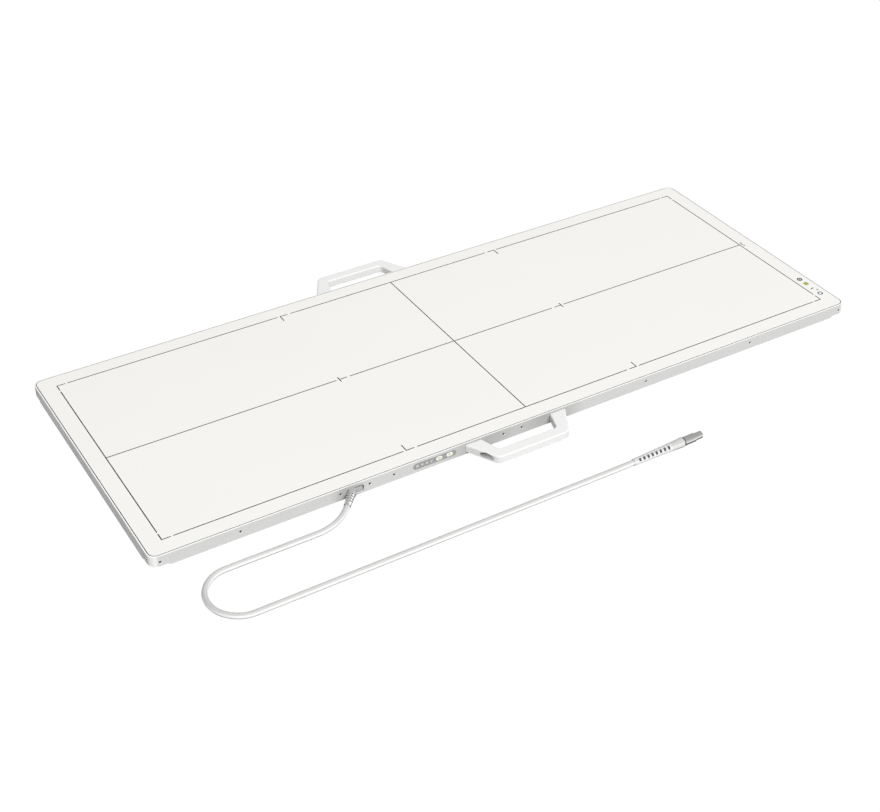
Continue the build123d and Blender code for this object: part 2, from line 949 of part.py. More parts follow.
def light_pipes():
    """The clear rods that bring the indicator lights from the board to the window."""
    section = RegularPolygon(light_diameter / 2, light_sides)
    return [extrude(strip_place(station) * section, -wall_thickness) for station in light_stations]


def control_board():
    """The board behind the control strip, standing on edge against the wall's inner face."""
    low = support_bottom - snug - control_board_height
    inner = -well_width / 2
    return block(
        (strip_centre - control_board_length / 2, inner, low),
        (strip_centre + control_board_length / 2, inner + board_thickness, support_bottom - snug),
    )


def socket_place(depth=0.0):
    """The middle of the socket, from the wall's face inwards."""
    return near_wall * Pos(socket_centre, socket_level, -depth)


def contact_places():
    """The contacts' places across the socket's face."""
    return [
        ((column - (contact_columns - 1) / 2) * contact_pitch, side * contact_row_pitch / 2)
        for column in range(contact_columns)
        for side in (-1, 1)
    ]


def cable_socket():
    """The socket's insulating body, held from inside by two ears."""
    middle = socket_body_bottom + socket_body_height / 2
    length = wall_thickness + socket_body_reach - socket_depth
    face = near_wall * Pos(socket_centre, middle, -socket_depth)
    body = extrude(face * Rectangle(socket_body_length, socket_body_height), -length)
    inner = near_wall * Pos(socket_centre, middle, -wall_thickness)
    ears = Rectangle(socket_screw_spacing + 2 * screw_head_diameter, socket_body_height)
    body += extrude(inner * ears, -socket_ear_thickness)
    for place in socket_screw_places:
        body -= near_wall * Pos(*place) * screw_hole(wall_thickness + socket_ear_thickness + snug)
    section = RegularPolygon(contact_diameter / 2 + screw_clearance, contact_sides)
    for place in contact_places():
        body -= extrude(socket_place() * Pos(*place) * section, -(wall_thickness + socket_body_reach))
    return body


def socket_contacts():
    """The gold pins of the socket."""
    start = socket_place(socket_depth - contact_reach)
    length = wall_thickness + socket_body_reach - socket_depth + 2 * contact_reach
    section = RegularPolygon(contact_diameter / 2, contact_sides)
    return [extrude(start * Pos(*place) * section, -length) for place in contact_places()]


def socket_screws():
    """The two screws that pull the socket's ears against the wall."""
    screw = countersunk_screw(wall_thickness + socket_ear_thickness)
    return [near_wall * Pos(*place) * screw for place in socket_screw_places]


def blank_cover():
    """The plain cover set into the wall beside the socket."""
    face = near_wall * Pos(blank_centre, blank_level)
    return extrude(face * RectangleRounded(blank_length, blank_height, 1), -(blank_thickness))


def route_point(number):
    """One point of the lead's route in the part's own frame."""
    dx, dy, z = cable_route[number]
    return Vector(socket_centre + dx, -housing_width / 2 + dy, z)


lead_start = route_point(0)
lead_direction = (route_point(1) - lead_start).normalized()
boot_root = lead_start - lead_direction * boot_length
lead_end = route_point(-1)
connector_direction = (lead_end - route_point(-2)).normalized()
connector_plane = Plane(origin=lead_end, z_dir=connector_direction)
across = Vector(0, 0, 1).cross(lead_direction)
boot_plane = Plane(origin=boot_root, x_dir=across, z_dir=lead_direction)
hood_offset = (hood_root_width - socket_length) / 2 + plug_clearance


def slot_rings(count, first, pitch, width, tail_radius, slope):
    """Windows round a strain relief, four to a ring, for cutting: each has a flat floor a set depth
    below the surface, and bridges of about the set width stay between them."""
    rings = []
    for number in range(count):
        middle = first + number * pitch
        radius = tail_radius + slope * middle
        opening = radius * 2 ** 0.5 - slot_bridge
        floor = 2 * (radius - slot_depth)
        cross = Rectangle(3 * radius, opening) + Rectangle(opening, 3 * radius)
        windows = Rot(0, 0, 45) * (cross - Rectangle(floor, floor))
        rings.append(Pos(0, 0, middle - width / 2) * extrude(windows, width))
    return rings


def plug_body():
    """The plug's nose in the socket and the slanted hood that the lead leaves from."""
    height = socket_height - 2 * plug_clearance
    radius = socket_corner_radius - plug_clearance
    nose = extrude(
        socket_place(plug_sink)
        * RectangleRounded(socket_length - 2 * plug_clearance, height, radius),
        -(socket_depth - plug_sink - plug_clearance),
    )
    nose = chamfer(nose.faces().sort_by(Axis.Y)[0].edges(), plug_edge)
    outline = chamfer(Rectangle(hood_root_width, height).vertices(), radius)
    root = extrude(socket_place(plug_sink) * Pos(hood_offset, 0) * outline, plug_sink)
    face = socket_place() * Pos(hood_offset, 0) * outline
    mouth = boot_plane * chamfer(Rectangle(hood_width, hood_width).vertices(), hood_chamfer)
    hood = loft([face, mouth], ruled=True)
    body = nose + root + hood
    slot_height = contact_diameter + 2 * plug_clearance
    slot_length = (contact_columns - 1) * contact_pitch + slot_height
    for side in (-1, 1):
        row = socket_place(socket_depth) * Pos(0, side * contact_row_pitch / 2)
        body -= extrude(row * Rectangle(slot_length, slot_height), contact_reach + plug_clearance)
    return body


def plug_boot():
    """The slotted strain relief between the plug and the lead."""
    slope = (boot_tip_radius - boot_root_radius) / boot_length
    sleeve = turned(
        [(0, 0), (boot_root_radius, 0), (boot_tip_radius, boot_length), (0, boot_length)]
    )
    for ring in slot_rings(
        boot_slots, boot_slot_first, boot_slot_pitch, boot_slot_width, boot_root_radius, slope
    ):
        sleeve -= ring
    return boot_plane * sleeve


def cable():
    """The lead itself, as straight runs and tangent arcs as large as its runs allow."""
    points = [route_point(number) for number in range(len(cable_route))]
    radii = []
    for before, here, after in zip(points, points[1:], points[2:]):
        turn = (here - before).get_angle(after - here)
        shorter = min((here - before).length, (after - here).length)
        radii.append(0.45 * shorter / tan(radians(turn / 2)))
    path = FilletPolyline(*points, radius=radii)
    section = Plane(origin=points[0], z_dir=lead_direction) * Circle(cable_diameter / 2)
    tube = sweep(section, path=path)
    area = 3.14159265 * cable_diameter**2 / 4
    print("lead radii", [round(radius, 1) for radius in radii])
    print("lead length", round(path.length, 1), "volume ratio", round(tube.volume / area / path.length, 5))
    return tube


def connector_grip():
    """The moulded tail and body of the far connector, with a slotted strain relief."""
    slope = (grip_front_radius - body_tail_radius) / sleeve_boot_length
    grip = turned(
        [
            (0, 0),
            (body_tail_radius, 0),
            (grip_front_radius, sleeve_boot_length),
            (0, sleeve_boot_length),
        ]
    )
    for ring in slot_rings(
        grip_slots, grip_slot_first, grip_slot_pitch, grip_slot_width, body_tail_radius, slope
    ):
        grip -= ring
    return connector_plane * grip


def connector_body():
    """The smooth front of the moulding, up to the locking sleeve."""
    body = turned(
        [
            (0, sleeve_boot_length),
            (grip_front_radius, sleeve_boot_length),
            (body_front_radius, body_length - body_edge),
            (body_front_radius - body_edge, body_length),
            (0, body_length),
        ]
    )
    return connector_plane * body


def connector_nose():
    """The turned metal core: a stem inside the sleeve and the nose that enters the mating socket."""
    shoulder = body_length + lock_gap + lock_length + snug
    tip = shoulder + nose_length
    core = turned(
        [
            (0, body_length),
            (stem_radius, body_length),
            (stem_radius, shoulder),
            (nose_radius, shoulder),
            (nose_radius, tip - 0.6),
            (nose_radius - 0.5, tip),
            (0, tip),
        ]
    )
    bore = Pos(0, 0, tip - nose_recess - nose_length / 2) * extrude(
        Circle(nose_radius - nose_wall), nose_recess + nose_length / 2
    )
    return connector_plane * (core - bore)


def connector_insert():
    """The insulating insert inside the nose and the contact pins that stand on it."""
    tip = body_length + lock_gap + lock_length + snug + nose_length
    face = tip - nose_recess
    insert = Pos(0, 0, face) * extrude(Circle(nose_radius - nose_wall - snug), -nose_length / 2)
    pin = extrude(RegularPolygon(pin_diameter / 2, contact_sides), nose_recess - 1)
    pins = [
        connector_plane * Pos(0, 0, face) * Rot(0, 0, turn) * Pos(pin_circle_radius, 0, 0) * pin
        for turn in range(0, 360, 360 // contact_pins)
    ]
    return connector_plane * insert, pins


def locking_sleeve():
    """The sleeve that is pulled back to free the connector."""
    start = body_length + lock_gap
    end = start + lock_length
    sleeve = turned(
        [
            (stem_radius + lock_running_gap, start),
            (lock_radius - lock_step, start),
            (lock_radius, start + lock_step),
            (lock_radius, start + lock_collar_length),
            (lock_radius - lock_step, start + lock_collar_length + lock_step),
            (lock_radius - lock_step, end - lock_step),
            (lock_radius - 2 * lock_step, end),
            (stem_radius + lock_running_gap, end),
        ]
    )
    return connector_plane * sleeve


def ribbons():
    """The flat leads from the control board and the socket to the boards behind them."""
    inner = -well_width / 2
    main_x, main_y, main_length, main_width = boards["main_board"][0]
    power_x, power_y, power_length, power_width = boards["power_board"][0]
    standoff_edge = standoff_inset + standoff_diameter / 2
    control_x = power_x - power_length / 2 + standoff_edge + ribbon_clearance + ribbon_width / 2
    control = block(
        (control_x - ribbon_width / 2, inner + board_thickness, board_top),
        (control_x + ribbon_width / 2, power_y - power_width / 2 + ribbon_width, board_top + flex_thickness),
    )
    lead = block(
        (socket_centre - ribbon_width / 2, inner + socket_body_reach + contact_reach, board_top),
        (
            socket_centre + ribbon_width / 2,
            main_y - main_width / 2 + ribbon_width,
            board_top + flex_thickness,
        ),
    )
    return control, lead


def build():
    """Makes every sub-part and writes it."""
    for name, rail in rails().items():
        save(name, rail)
    for corner, cap in zip(("1", "2", "3", "4"), corner_caps()):
        save(f"corner_cap_{corner}", cap)
    save("corner_brackets", *corner_brackets())
    marks = field_marks()
    save("field_marks", *marks.solids())
    save("front_plate", front_plate(marks))
    save("plate_seal", plate_seal())
    foam_length = field_length + 4 * layer_overlap
    foam_width = field_width + 4 * layer_overlap
    save("foam_sheet", slab(foam_length, foam_width, layer_overlap, foam_bottom, plate_bottom))
    active_length = field_length + layer_overlap / 2
    active_width = field_width + layer_overlap / 2
    save(
        "scintillator_sheet",
        slab(active_length, active_width, layer_overlap / 4, scintillator_bottom, foam_bottom),
    )
    save("sensor_tiles", *sensor_tiles())
    shield_length = field_length + 2 * layer_overlap
    shield_width = field_width + 2 * layer_overlap
    save("shield_sheet", slab(shield_length, shield_width, layer_overlap, support_top, glass_bottom))
    save("support_plate", support_plate())
    save("sensor_films", *sensor_films())
    for name, places in boards.items():
        save(name, *[board(*place) for place in places])
    save("board_standoffs", *standoffs())
    save("support_posts", *support_posts())
    save("board_chips", *chips())
    save("heat_spreaders", *spreader(cover_thickness, chip_bottom - thermal_pad_thickness))
    save("thermal_pads", *spreader(chip_bottom - thermal_pad_thickness, chip_bottom))
    save("tie_blocks", *tie_blocks())
    save("rear_cover", rear_cover())
    save("rear_seal", rear_seal())
    save("cover_screws", *cover_screws())
    save("side_screws", *side_screws())
    save("cap_screws", *cap_screws())

    handle = near_handle()
    screws, inserts = handle_fastenings()
    pads = handle_pads()
    save("near_handle", handle)
    save("far_handle", mirror(handle, about=Plane.XZ))
    save("handle_pads", *pads, *[mirror(pad, about=Plane.XZ) for pad in pads])
    save("handle_screws", *screws, *[mirror(screw, about=Plane.XZ) for screw in screws])
    save("handle_inserts", *inserts, *[mirror(insert, about=Plane.XZ) for insert in inserts])

    control, lead = ribbons()
    save("control_window", control_window())
    save("power_button", button(button_stations[0]))
    save("mode_button", button(button_stations[1]))
    save("button_switches", *switches())
    save("light_pipes", *light_pipes())
    save("control_board", control_board())
    save("control_ribbon", control)
    save("blank_cover", blank_cover())

    save("cable_socket", cable_socket())
    save("socket_contacts", *socket_contacts())
    save("socket_screws", *socket_screws())
    save("socket_ribbon", lead)
    save("cable_plug", plug_body())
    save("plug_boot", plug_boot())
    save("cable", cable())
    insert, pins = connector_insert()
    save("connector_grip", connector_grip())
    save("connector_body", connector_body())
    save("connector_nose", connector_nose())
    save("connector_insert", insert)
    save("connector_pins", *pins)
    save("locking_sleeve", locking_sleeve())


build()
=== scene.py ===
"""The looks of a long flat panel x-ray detector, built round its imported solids, in metres."""

import json
import logging
from dataclasses import dataclass, field, replace
from enum import Enum
from math import cos, pi, radians, sin

import bmesh
import bpy
from mathutils import Matrix, Vector

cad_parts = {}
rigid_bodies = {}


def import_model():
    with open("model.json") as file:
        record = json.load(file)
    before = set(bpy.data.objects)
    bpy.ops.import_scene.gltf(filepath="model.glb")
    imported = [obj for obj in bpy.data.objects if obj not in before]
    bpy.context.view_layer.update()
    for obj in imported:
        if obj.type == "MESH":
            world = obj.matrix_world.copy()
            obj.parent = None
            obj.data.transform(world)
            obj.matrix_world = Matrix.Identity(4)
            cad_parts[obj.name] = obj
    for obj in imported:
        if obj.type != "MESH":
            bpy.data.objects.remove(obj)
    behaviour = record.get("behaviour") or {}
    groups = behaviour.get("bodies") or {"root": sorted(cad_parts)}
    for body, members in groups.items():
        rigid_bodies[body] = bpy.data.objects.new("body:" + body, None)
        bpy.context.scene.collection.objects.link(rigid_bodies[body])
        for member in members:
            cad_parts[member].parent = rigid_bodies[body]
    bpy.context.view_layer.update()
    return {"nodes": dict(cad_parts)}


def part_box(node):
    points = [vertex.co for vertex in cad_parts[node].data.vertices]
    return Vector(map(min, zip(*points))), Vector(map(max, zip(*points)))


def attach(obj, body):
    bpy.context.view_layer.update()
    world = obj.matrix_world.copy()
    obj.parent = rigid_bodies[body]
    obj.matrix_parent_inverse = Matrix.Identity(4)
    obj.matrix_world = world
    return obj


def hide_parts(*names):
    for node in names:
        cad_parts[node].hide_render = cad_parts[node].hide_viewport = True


Point = tuple[float, float, float]
Colour = tuple[float, float, float]
Profile = list[tuple[float, float]]
Places = list[tuple[Vector, Vector]]
Socket = bpy.types.NodeSocket
Material = bpy.types.Material

MM = 0.001
HALF_LENGTH = 640.3 * MM
HALF_WIDTH = 245.7 * MM
HEIGHT = 22.0 * MM
HANDLE_CENTRE = -37.5 * MM
HANDLE_BORE_HALF = 74.0 * MM
HANDLE_BORE_LEVEL = 11.75 * MM
SOCKET_CENTRE = -318.8 * MM
CORNERS = ((-1, -1), (-1, 1), (1, -1), (1, 1))
WELD = 1e-6

log = logging.getLogger("detector")


class Body(Enum):
    """The bodies that the pieces ride on."""

    PANEL = "panel"
    POWER_BUTTON = "power_button"
    MODE_BUTTON = "mode_button"
    LEAD = "cable_lead"
    SLEEVE = "lock_sleeve"


class Effect(Enum):
    """The surface effects that several finishes share."""

    GRAIN = "SurfaceGrain"
    DRIFT = "ToneDrift"
    HANDLING = "HandlingMarks"
    BRUSH = "BrushLines"
    DEPTH = "DepthBelowSkin"
    TRACES = "TraceLines"
    EDGES = "EdgeMask"
    FACING = "UpwardMask"
    BORES = "BoreMask"
    BAYS = "BayMask"
    OUTLINE = "OutlineMask"


def show(thing: bpy.types.Object) -> bpy.types.Object:
    """Puts an object into the scene and gives it back."""
    bpy.context.scene.collection.objects.link(thing)
    return thing


class Graph:
    """Adds nodes to one node tree and joins them."""

    COLUMN, ROW, ROWS = 190.0, -40.0, 5

    def __init__(self, tree: bpy.types.NodeTree) -> None:
        """Starts on a tree.

        Args:
            tree: the node tree that the nodes go into.
        """
        self.tree = tree
        self.count = 0

    def node(self, kind: str, **settings: object) -> bpy.types.Node:
        """Adds one node.

        Args:
            kind: the node's type name.
            settings: properties of the node, by name.

        Returns:
            The new node.
        """
        made = self.tree.nodes.new(kind)
        for name, value in settings.items():
            setattr(made, name, value)
        made.location = (self.COLUMN * self.count, self.ROW * (self.count % self.ROWS))
        self.count += 1
        return made

    def feed(self, target: Socket, source: object) -> None:
        """Joins a socket to another one, or sets it to a constant.

        Args:
            target: the input socket.
            source: an output socket or a plain value.
        """
        if isinstance(source, Socket):
            self.tree.links.new(source, target)
        else:
            target.default_value = source

    def fill(self, node: bpy.types.Node, **values: object) -> bpy.types.Node:
        """Feeds several inputs of a node.

        Args:
            node: the node.
            values: its inputs, by name with _ for each space.

        Returns:
            The same node.
        """
        for name, value in values.items():
            self.feed(node.inputs[name.replace("_", " ")], value)
        return node

    def math(self, operation: str, first: object, second: object = 0.0) -> Socket:
        """Adds a Math node.

        Args:
            operation: the node's operation.
            first: the first number or socket.
            second: the second number or socket.

        Returns:
            The result's socket.
        """
        made = self.node("ShaderNodeMath", operation=operation)
        self.feed(made.inputs[0], first)
        self.feed(made.inputs[1], second)
        return made.outputs[0]

    def vector(self, operation: str, first: object, second: object) -> bpy.types.Node:
        """Adds a Vector Math node.

        Args:
            operation: the node's operation.
            first: the first vector or socket.
            second: the second vector or socket.

        Returns:
            The node, whose first output is a vector and second a value.
        """
        made = self.node("ShaderNodeVectorMath", operation=operation)
        self.feed(made.inputs[0], first)
        self.feed(made.inputs[1], second)
        return made

    def length(self, vector: object) -> Socket:
        """The length of a vector, as a socket."""
        return self.vector("LENGTH", vector, (0.0, 0.0, 0.0)).outputs[1]

    def parts(self, vector: object) -> bpy.types.NodeOutputs:
        """Takes a vector apart.

        Args:
            vector: the vector's socket.

        Returns:
            The sockets of its three parts.
        """
        made = self.node("ShaderNodeSeparateXYZ")
        self.feed(made.inputs[0], vector)
        return made.outputs

    def joined(self, x: object = 0.0, z: object = 0.0) -> Socket:
        """Joins two numbers to a vector.

        Args:
            x: its part along X.
            z: its part along Z.

        Returns:
            The vector's socket.
        """
        return self.fill(self.node("ShaderNodeCombineXYZ"), X=x, Z=z).outputs[0]

    def blend(self, mask: object, first: object, second: object) -> Socket:
        """Mixes two colours.

        Args:
            mask: 0 for the first colour, 1 for the second.
            first: the first colour or socket.
            second: the second colour or socket.

        Returns:
            The mixed colour's socket.
        """
        made = self.node("ShaderNodeMix", data_type="RGBA")
        self.feed(made.inputs["Factor"], mask)
        self.feed(made.inputs[6], first)
        self.feed(made.inputs[7], second)
        return made.outputs[2]

    def spread(
        self, value: object, low: object, high: object, to_low: object = 0.0, to_high: object = 1.0
    ) -> Socket:
        """Maps a range of values smoothly onto another one.

        Args:
            value: the number or socket to map.
            low: the range's start.
            high: the range's end.
            to_low: what the start becomes.
            to_high: what the end becomes.

        Returns:
            The mapped value's socket.
        """
        made = self.node("ShaderNodeMapRange", interpolation_type="SMOOTHSTEP")
        for place, part in enumerate((value, low, high, to_low, to_high)):
            self.feed(made.inputs[place], part)
        return made.outputs[0]

    def noise(self, place: object, scale: object, detail: float) -> Socket:
        """Adds a noise texture.

        Args:
            place: the point it is read at.
            scale: its lumps per metre.
            detail: its finer layers.

        Returns:
            The noise's value, from 0 to 1.
        """
        made = self.fill(self.node("ShaderNodeTexNoise"), Vector=place, Scale=scale, Detail=detail)
        return made.outputs["Fac"]

    def point(self) -> Socket:
        """The point on the piece, in the object's own frame."""
        return self.node("ShaderNodeTexCoord").outputs["Object"]

    def facing(self) -> bpy.types.NodeOutputs:
        """The three parts of the piece's own normal."""
        return self.parts(self.node("ShaderNodeTexCoord").outputs["Normal"])


class Effects:
    """Builds each shared effect once, as a shader node group."""

    def __init__(self) -> None:
        """Starts with no group built."""
        self.built: dict[Effect, bpy.types.NodeTree] = {}

    def tree(self, effect: Effect) -> bpy.types.NodeTree:
        """Gives an effect's group, and builds it the first time.

        Args:
            effect: the effect wanted.

        Returns:
            Its node group.
        """
        if effect not in self.built:
            makers = {
                Effect.GRAIN: self._grain,
                Effect.DRIFT: self._drift,
                Effect.HANDLING: self._handling,
                Effect.BRUSH: self._brush,
                Effect.DEPTH: self._depth,
                Effect.TRACES: self._traces,
                Effect.EDGES: self._edges,
                Effect.FACING: self._facing,
                Effect.BORES: self._bores,
                Effect.BAYS: self._bays,
                Effect.OUTLINE: self._outline,
            }
            makers[effect]()
        return self.built[effect]

    def _sockets(
        self, effect: Effect, output: str, kind: str, **inputs: str
    ) -> tuple[Graph, dict[str, Socket], Socket]:
        """Starts an effect's group with its sockets.

        Args:
            effect: the effect.
            output: the output's name.
            kind: the output's type, as Float, Vector or Color.
            inputs: the type of each input, by name with _ for each space.

        Returns:
            A graph on the group, its input sockets by name, and the output's socket.
        """
        kinds = {name.replace("_", " "): sort for name, sort in inputs.items()}
        tree = self.built[effect] = bpy.data.node_groups.new(effect.value, "ShaderNodeTree")
        face = tree.interface
        for name, sort in kinds.items():
            face.new_socket(name=name, in_out="INPUT", socket_type="NodeSocket" + sort)
        face.new_socket(name=output, in_out="OUTPUT", socket_type="NodeSocket" + kind)
        graph = Graph(tree)
        entry = graph.node("NodeGroupInput")
        end = graph.node("NodeGroupOutput")
        return graph, {name: entry.outputs[name] for name in kinds}, end.inputs[output]

    def _grain(self) -> None:
        """Small lumps of a coating or a moulding, coarse and fine together."""
        graph, inputs, height = self._sockets(
            Effect.GRAIN, "Height", "Float", Lumps_per_metre="Float", Fine_share="Float"
        )
        times_finer, coarse_layers, fine_layers = 4.3, 1.0, 2.0
        place = graph.point()
        coarse = graph.noise(place, inputs["Lumps per metre"], coarse_layers)
        finer = graph.math("MULTIPLY", inputs["Lumps per metre"], times_finer)
        fine = graph.noise(place, finer, fine_layers)
        share = graph.math("MULTIPLY", fine, inputs["Fine share"])
        graph.feed(height, graph.math("ADD", coarse, share))

    def _drift(self) -> None:
        """A slow wander between two close tones."""
        graph, inputs, colour = self._sockets(
            Effect.DRIFT, "Colour", "Color", Tone="Color", Other_tone="Color", Patches_per_metre="Float"
        )
        layers, first_full, other_full = 3.0, 0.3, 0.7
        wander = graph.noise(graph.point(), inputs["Patches per metre"], layers)
        mask = graph.spread(wander, first_full, other_full)
        graph.feed(colour, graph.blend(mask, inputs["Tone"], inputs["Other tone"]))

    def _handling(self) -> None:
        """Where hands and cloths have left a surface a little glossier or duller."""
        graph, inputs, roughness = self._sockets(
            Effect.HANDLING, "Roughness", "Float", Smooth="Float", Rough="Float", Patches_per_metre="Float"
        )
        stretch, layers, smooth_full, rough_full = (1.0, 2.4, 1.0), 4.0, 0.25, 0.75
        smear = graph.vector("MULTIPLY", graph.point(), stretch).outputs[0]
        patch = graph.noise(smear, inputs["Patches per metre"], layers)
        worn = graph.spread(patch, smooth_full, rough_full, inputs["Smooth"], inputs["Rough"])
        graph.feed(roughness, worn)

    def _brush(self) -> None:
        """Fine parallel lines left by a tool or a belt."""
        graph, inputs, height = self._sockets(Effect.BRUSH, "Height", "Float", Lines_per_metre="Vector")
        layers = 3.0
        place = graph.vector("MULTIPLY", graph.point(), inputs["Lines per metre"]).outputs[0]
        graph.feed(height, graph.noise(place, 1.0, layers))

    def _depth(self) -> None:
        """How far a point lies below the skin of a tapered round piece."""
        graph, inputs, depth = self._sockets(
            Effect.DEPTH, "Depth", "Float", Root="Vector", Direction="Vector", Root_radius="Float",
            Slope="Float", Full_depth="Float"
        )
        start_share = 0.15
        offset = graph.vector("SUBTRACT", graph.point(), inputs["Root"]).outputs[0]
        along = graph.vector("DOT_PRODUCT", offset, inputs["Direction"]).outputs[1]
        sideways = graph.vector("CROSS_PRODUCT", offset, inputs["Direction"]).outputs[0]
        taper = graph.math("MULTIPLY", along, inputs["Slope"])
        skin = graph.math("ADD", inputs["Root radius"], taper)
        below = graph.math("SUBTRACT", skin, graph.length(sideways))
        start = graph.math("MULTIPLY", inputs["Full depth"], start_share)
        graph.feed(depth, graph.spread(below, start, inputs["Full depth"]))

    def _traces(self) -> None:
        """Conductor lines of a printed board."""
        graph, inputs, mask = self._sockets(Effect.TRACES, "Mask", "Float", Lines_per_metre="Float")
        bricks = graph.node("ShaderNodeTexBrick")
        graph.fill(bricks, Vector=graph.point(), Scale=inputs["Lines per metre"], Mortar_Size=0.06)
        graph.feed(mask, bricks.outputs["Fac"])

    def _edges(self) -> None:
        """Where a wall turns into its rim or round a corner, from nothing on the flat wall, for a painted
        highlight.
        """
        graph, inputs, mask = self._sockets(Effect.EDGES, "Mask", "Float", Softness="Float")
        corner_from, rim_from, rim_full, under_none, under_full = 0.12, 0.7, 0.96, -0.3, 0.0
        parts = graph.facing()
        sideways = [graph.math("ABSOLUTE", parts[axis]) for axis in (0, 1)]
        slant = graph.math("MINIMUM", *sideways)
        corner = graph.spread(slant, corner_from, inputs["Softness"])
        rim = graph.spread(parts[2], rim_from, rim_full)
        edge = graph.math("MAXIMUM", corner, rim)
        upward = graph.spread(parts[2], under_none, under_full)
        graph.feed(mask, graph.math("MULTIPLY", edge, upward))

    def _facing(self) -> None:
        """How far a surface faces up, between two heights of its normal, for painted light and shade."""
        graph, inputs, mask = self._sockets(Effect.FACING, "Mask", "Float", From="Float", To="Float")
        graph.feed(mask, graph.spread(graph.facing()[2], inputs["From"], inputs["To"]))

    @staticmethod
    def _outside_pair(graph: Graph, x: Socket, inputs: dict[str, Socket]) -> Socket:
        """How far a point lies outside two places set evenly about a middle.

        Args:
            graph: the group's graph.
            x: the point's place along X.
            inputs: the group's inputs, with the middle and the half spacing.

        Returns:
            The distance's socket, below zero between the two.
        """
        from_middle = graph.math("ABSOLUTE", graph.math("SUBTRACT", x, inputs["Middle"]))
        return graph.math("SUBTRACT", from_middle, inputs["Half spacing"])

    def _bores(self) -> None:
        """The inside of two bores along Y, set evenly about a middle."""
        graph, inputs, mask = self._sockets(
            Effect.BORES, "Mask", "Float", Middle="Float", Half_spacing="Float", Level="Float", Radius="Float"
        )
        inside_to, outside_from = 0.03 * MM, 0.18 * MM
        parts = graph.parts(graph.point())
        across = self._outside_pair(graph, parts[0], inputs)
        height = graph.math("SUBTRACT", parts[2], inputs["Level"])
        away = graph.length(graph.joined(across, height))
        beyond = graph.math("SUBTRACT", away, inputs["Radius"])
        graph.feed(mask, graph.spread(beyond, inside_to, outside_from, 1.0, 0.0))

    def _bays(self) -> None:
        """The stretches of a wall close to two things that stand out of it, about a middle, for painted
        shade.
        """
        graph, inputs, mask = self._sockets(
            Effect.BAYS, "Mask", "Float", Middle="Float", Half_spacing="Float", Reach_out="Float",
            Reach_in="Float"
        )
        full_to = 4.0 * MM
        outside = self._outside_pair(graph, graph.parts(graph.point())[0], inputs)
        inside = graph.math("MULTIPLY", outside, -1.0)
        beyond = graph.spread(outside, full_to, inputs["Reach out"], 1.0, 0.0)
        between = graph.spread(inside, full_to, inputs["Reach in"], 1.0, 0.0)
        graph.feed(mask, graph.math("MINIMUM", beyond, between))

    def _outline(self) -> None:
        """A band inside a rounded oblong across X and Z, strongest on top and beyond its face."""
        graph, inputs, mask = self._sockets(
            Effect.OUTLINE, "Mask", "Float", Middle="Vector", Straight_half="Float",
            Upright_half="Float", Corner="Float", Width="Float"
        )
        low, high, low_share, sunk_full = -4.0 * MM, 2.0 * MM, 0.3, 0.3 * MM
        parts = graph.parts(graph.vector("SUBTRACT", graph.point(), inputs["Middle"]).outputs[0])
        beyond = []
        for axis, half in ((0, inputs["Straight half"]), (2, inputs["Upright half"])):
            out = graph.math("SUBTRACT", graph.math("ABSOLUTE", parts[axis]), half)
            beyond.append(graph.math("MAXIMUM", out, 0.0))
        away = graph.length(graph.joined(*beyond))
        inner = graph.math("SUBTRACT", inputs["Corner"], inputs["Width"])
        band = graph.spread(away, inner, inputs["Corner"])
        upper = graph.spread(parts[2], low, high, low_share, 1.0)
        sunk = graph.spread(parts[1], 0.0, sunk_full)
        graph.feed(mask, graph.math("MULTIPLY", graph.math("MULTIPLY", band, upper), sunk))


class Paint(Graph):
    """The node tree of one material, with the shared effects at hand."""

    def __init__(self, tree: bpy.types.NodeTree, effects: Effects) -> None:
        """Starts on a material's tree.

        Args:
            tree: the material's node tree, which is emptied.
            effects: the shared effect groups.
        """
        super().__init__(tree)
        tree.nodes.clear()
        self.effects = effects

    def effect(self, effect: Effect, **values: object) -> Socket:
        """Places a shared effect in the material.

        Args:
            effect: the one wanted.
            values: its inputs, by name with _ for each space.

        Returns:
            Its first output.
        """
        made = self.node("ShaderNodeGroup", node_tree=self.effects.tree(effect))
        return self.fill(made, **values).outputs[0]

    def over(self, mask: Socket, ground: Socket, tone: Colour) -> Socket:
        """Lays one tone over a colour.

        Args:
            mask: where the tone lies.
            ground: the colour under it.
            tone: the tone.

        Returns:
            The colour's socket.
        """
        return self.blend(mask, ground, (*tone, 1.0))


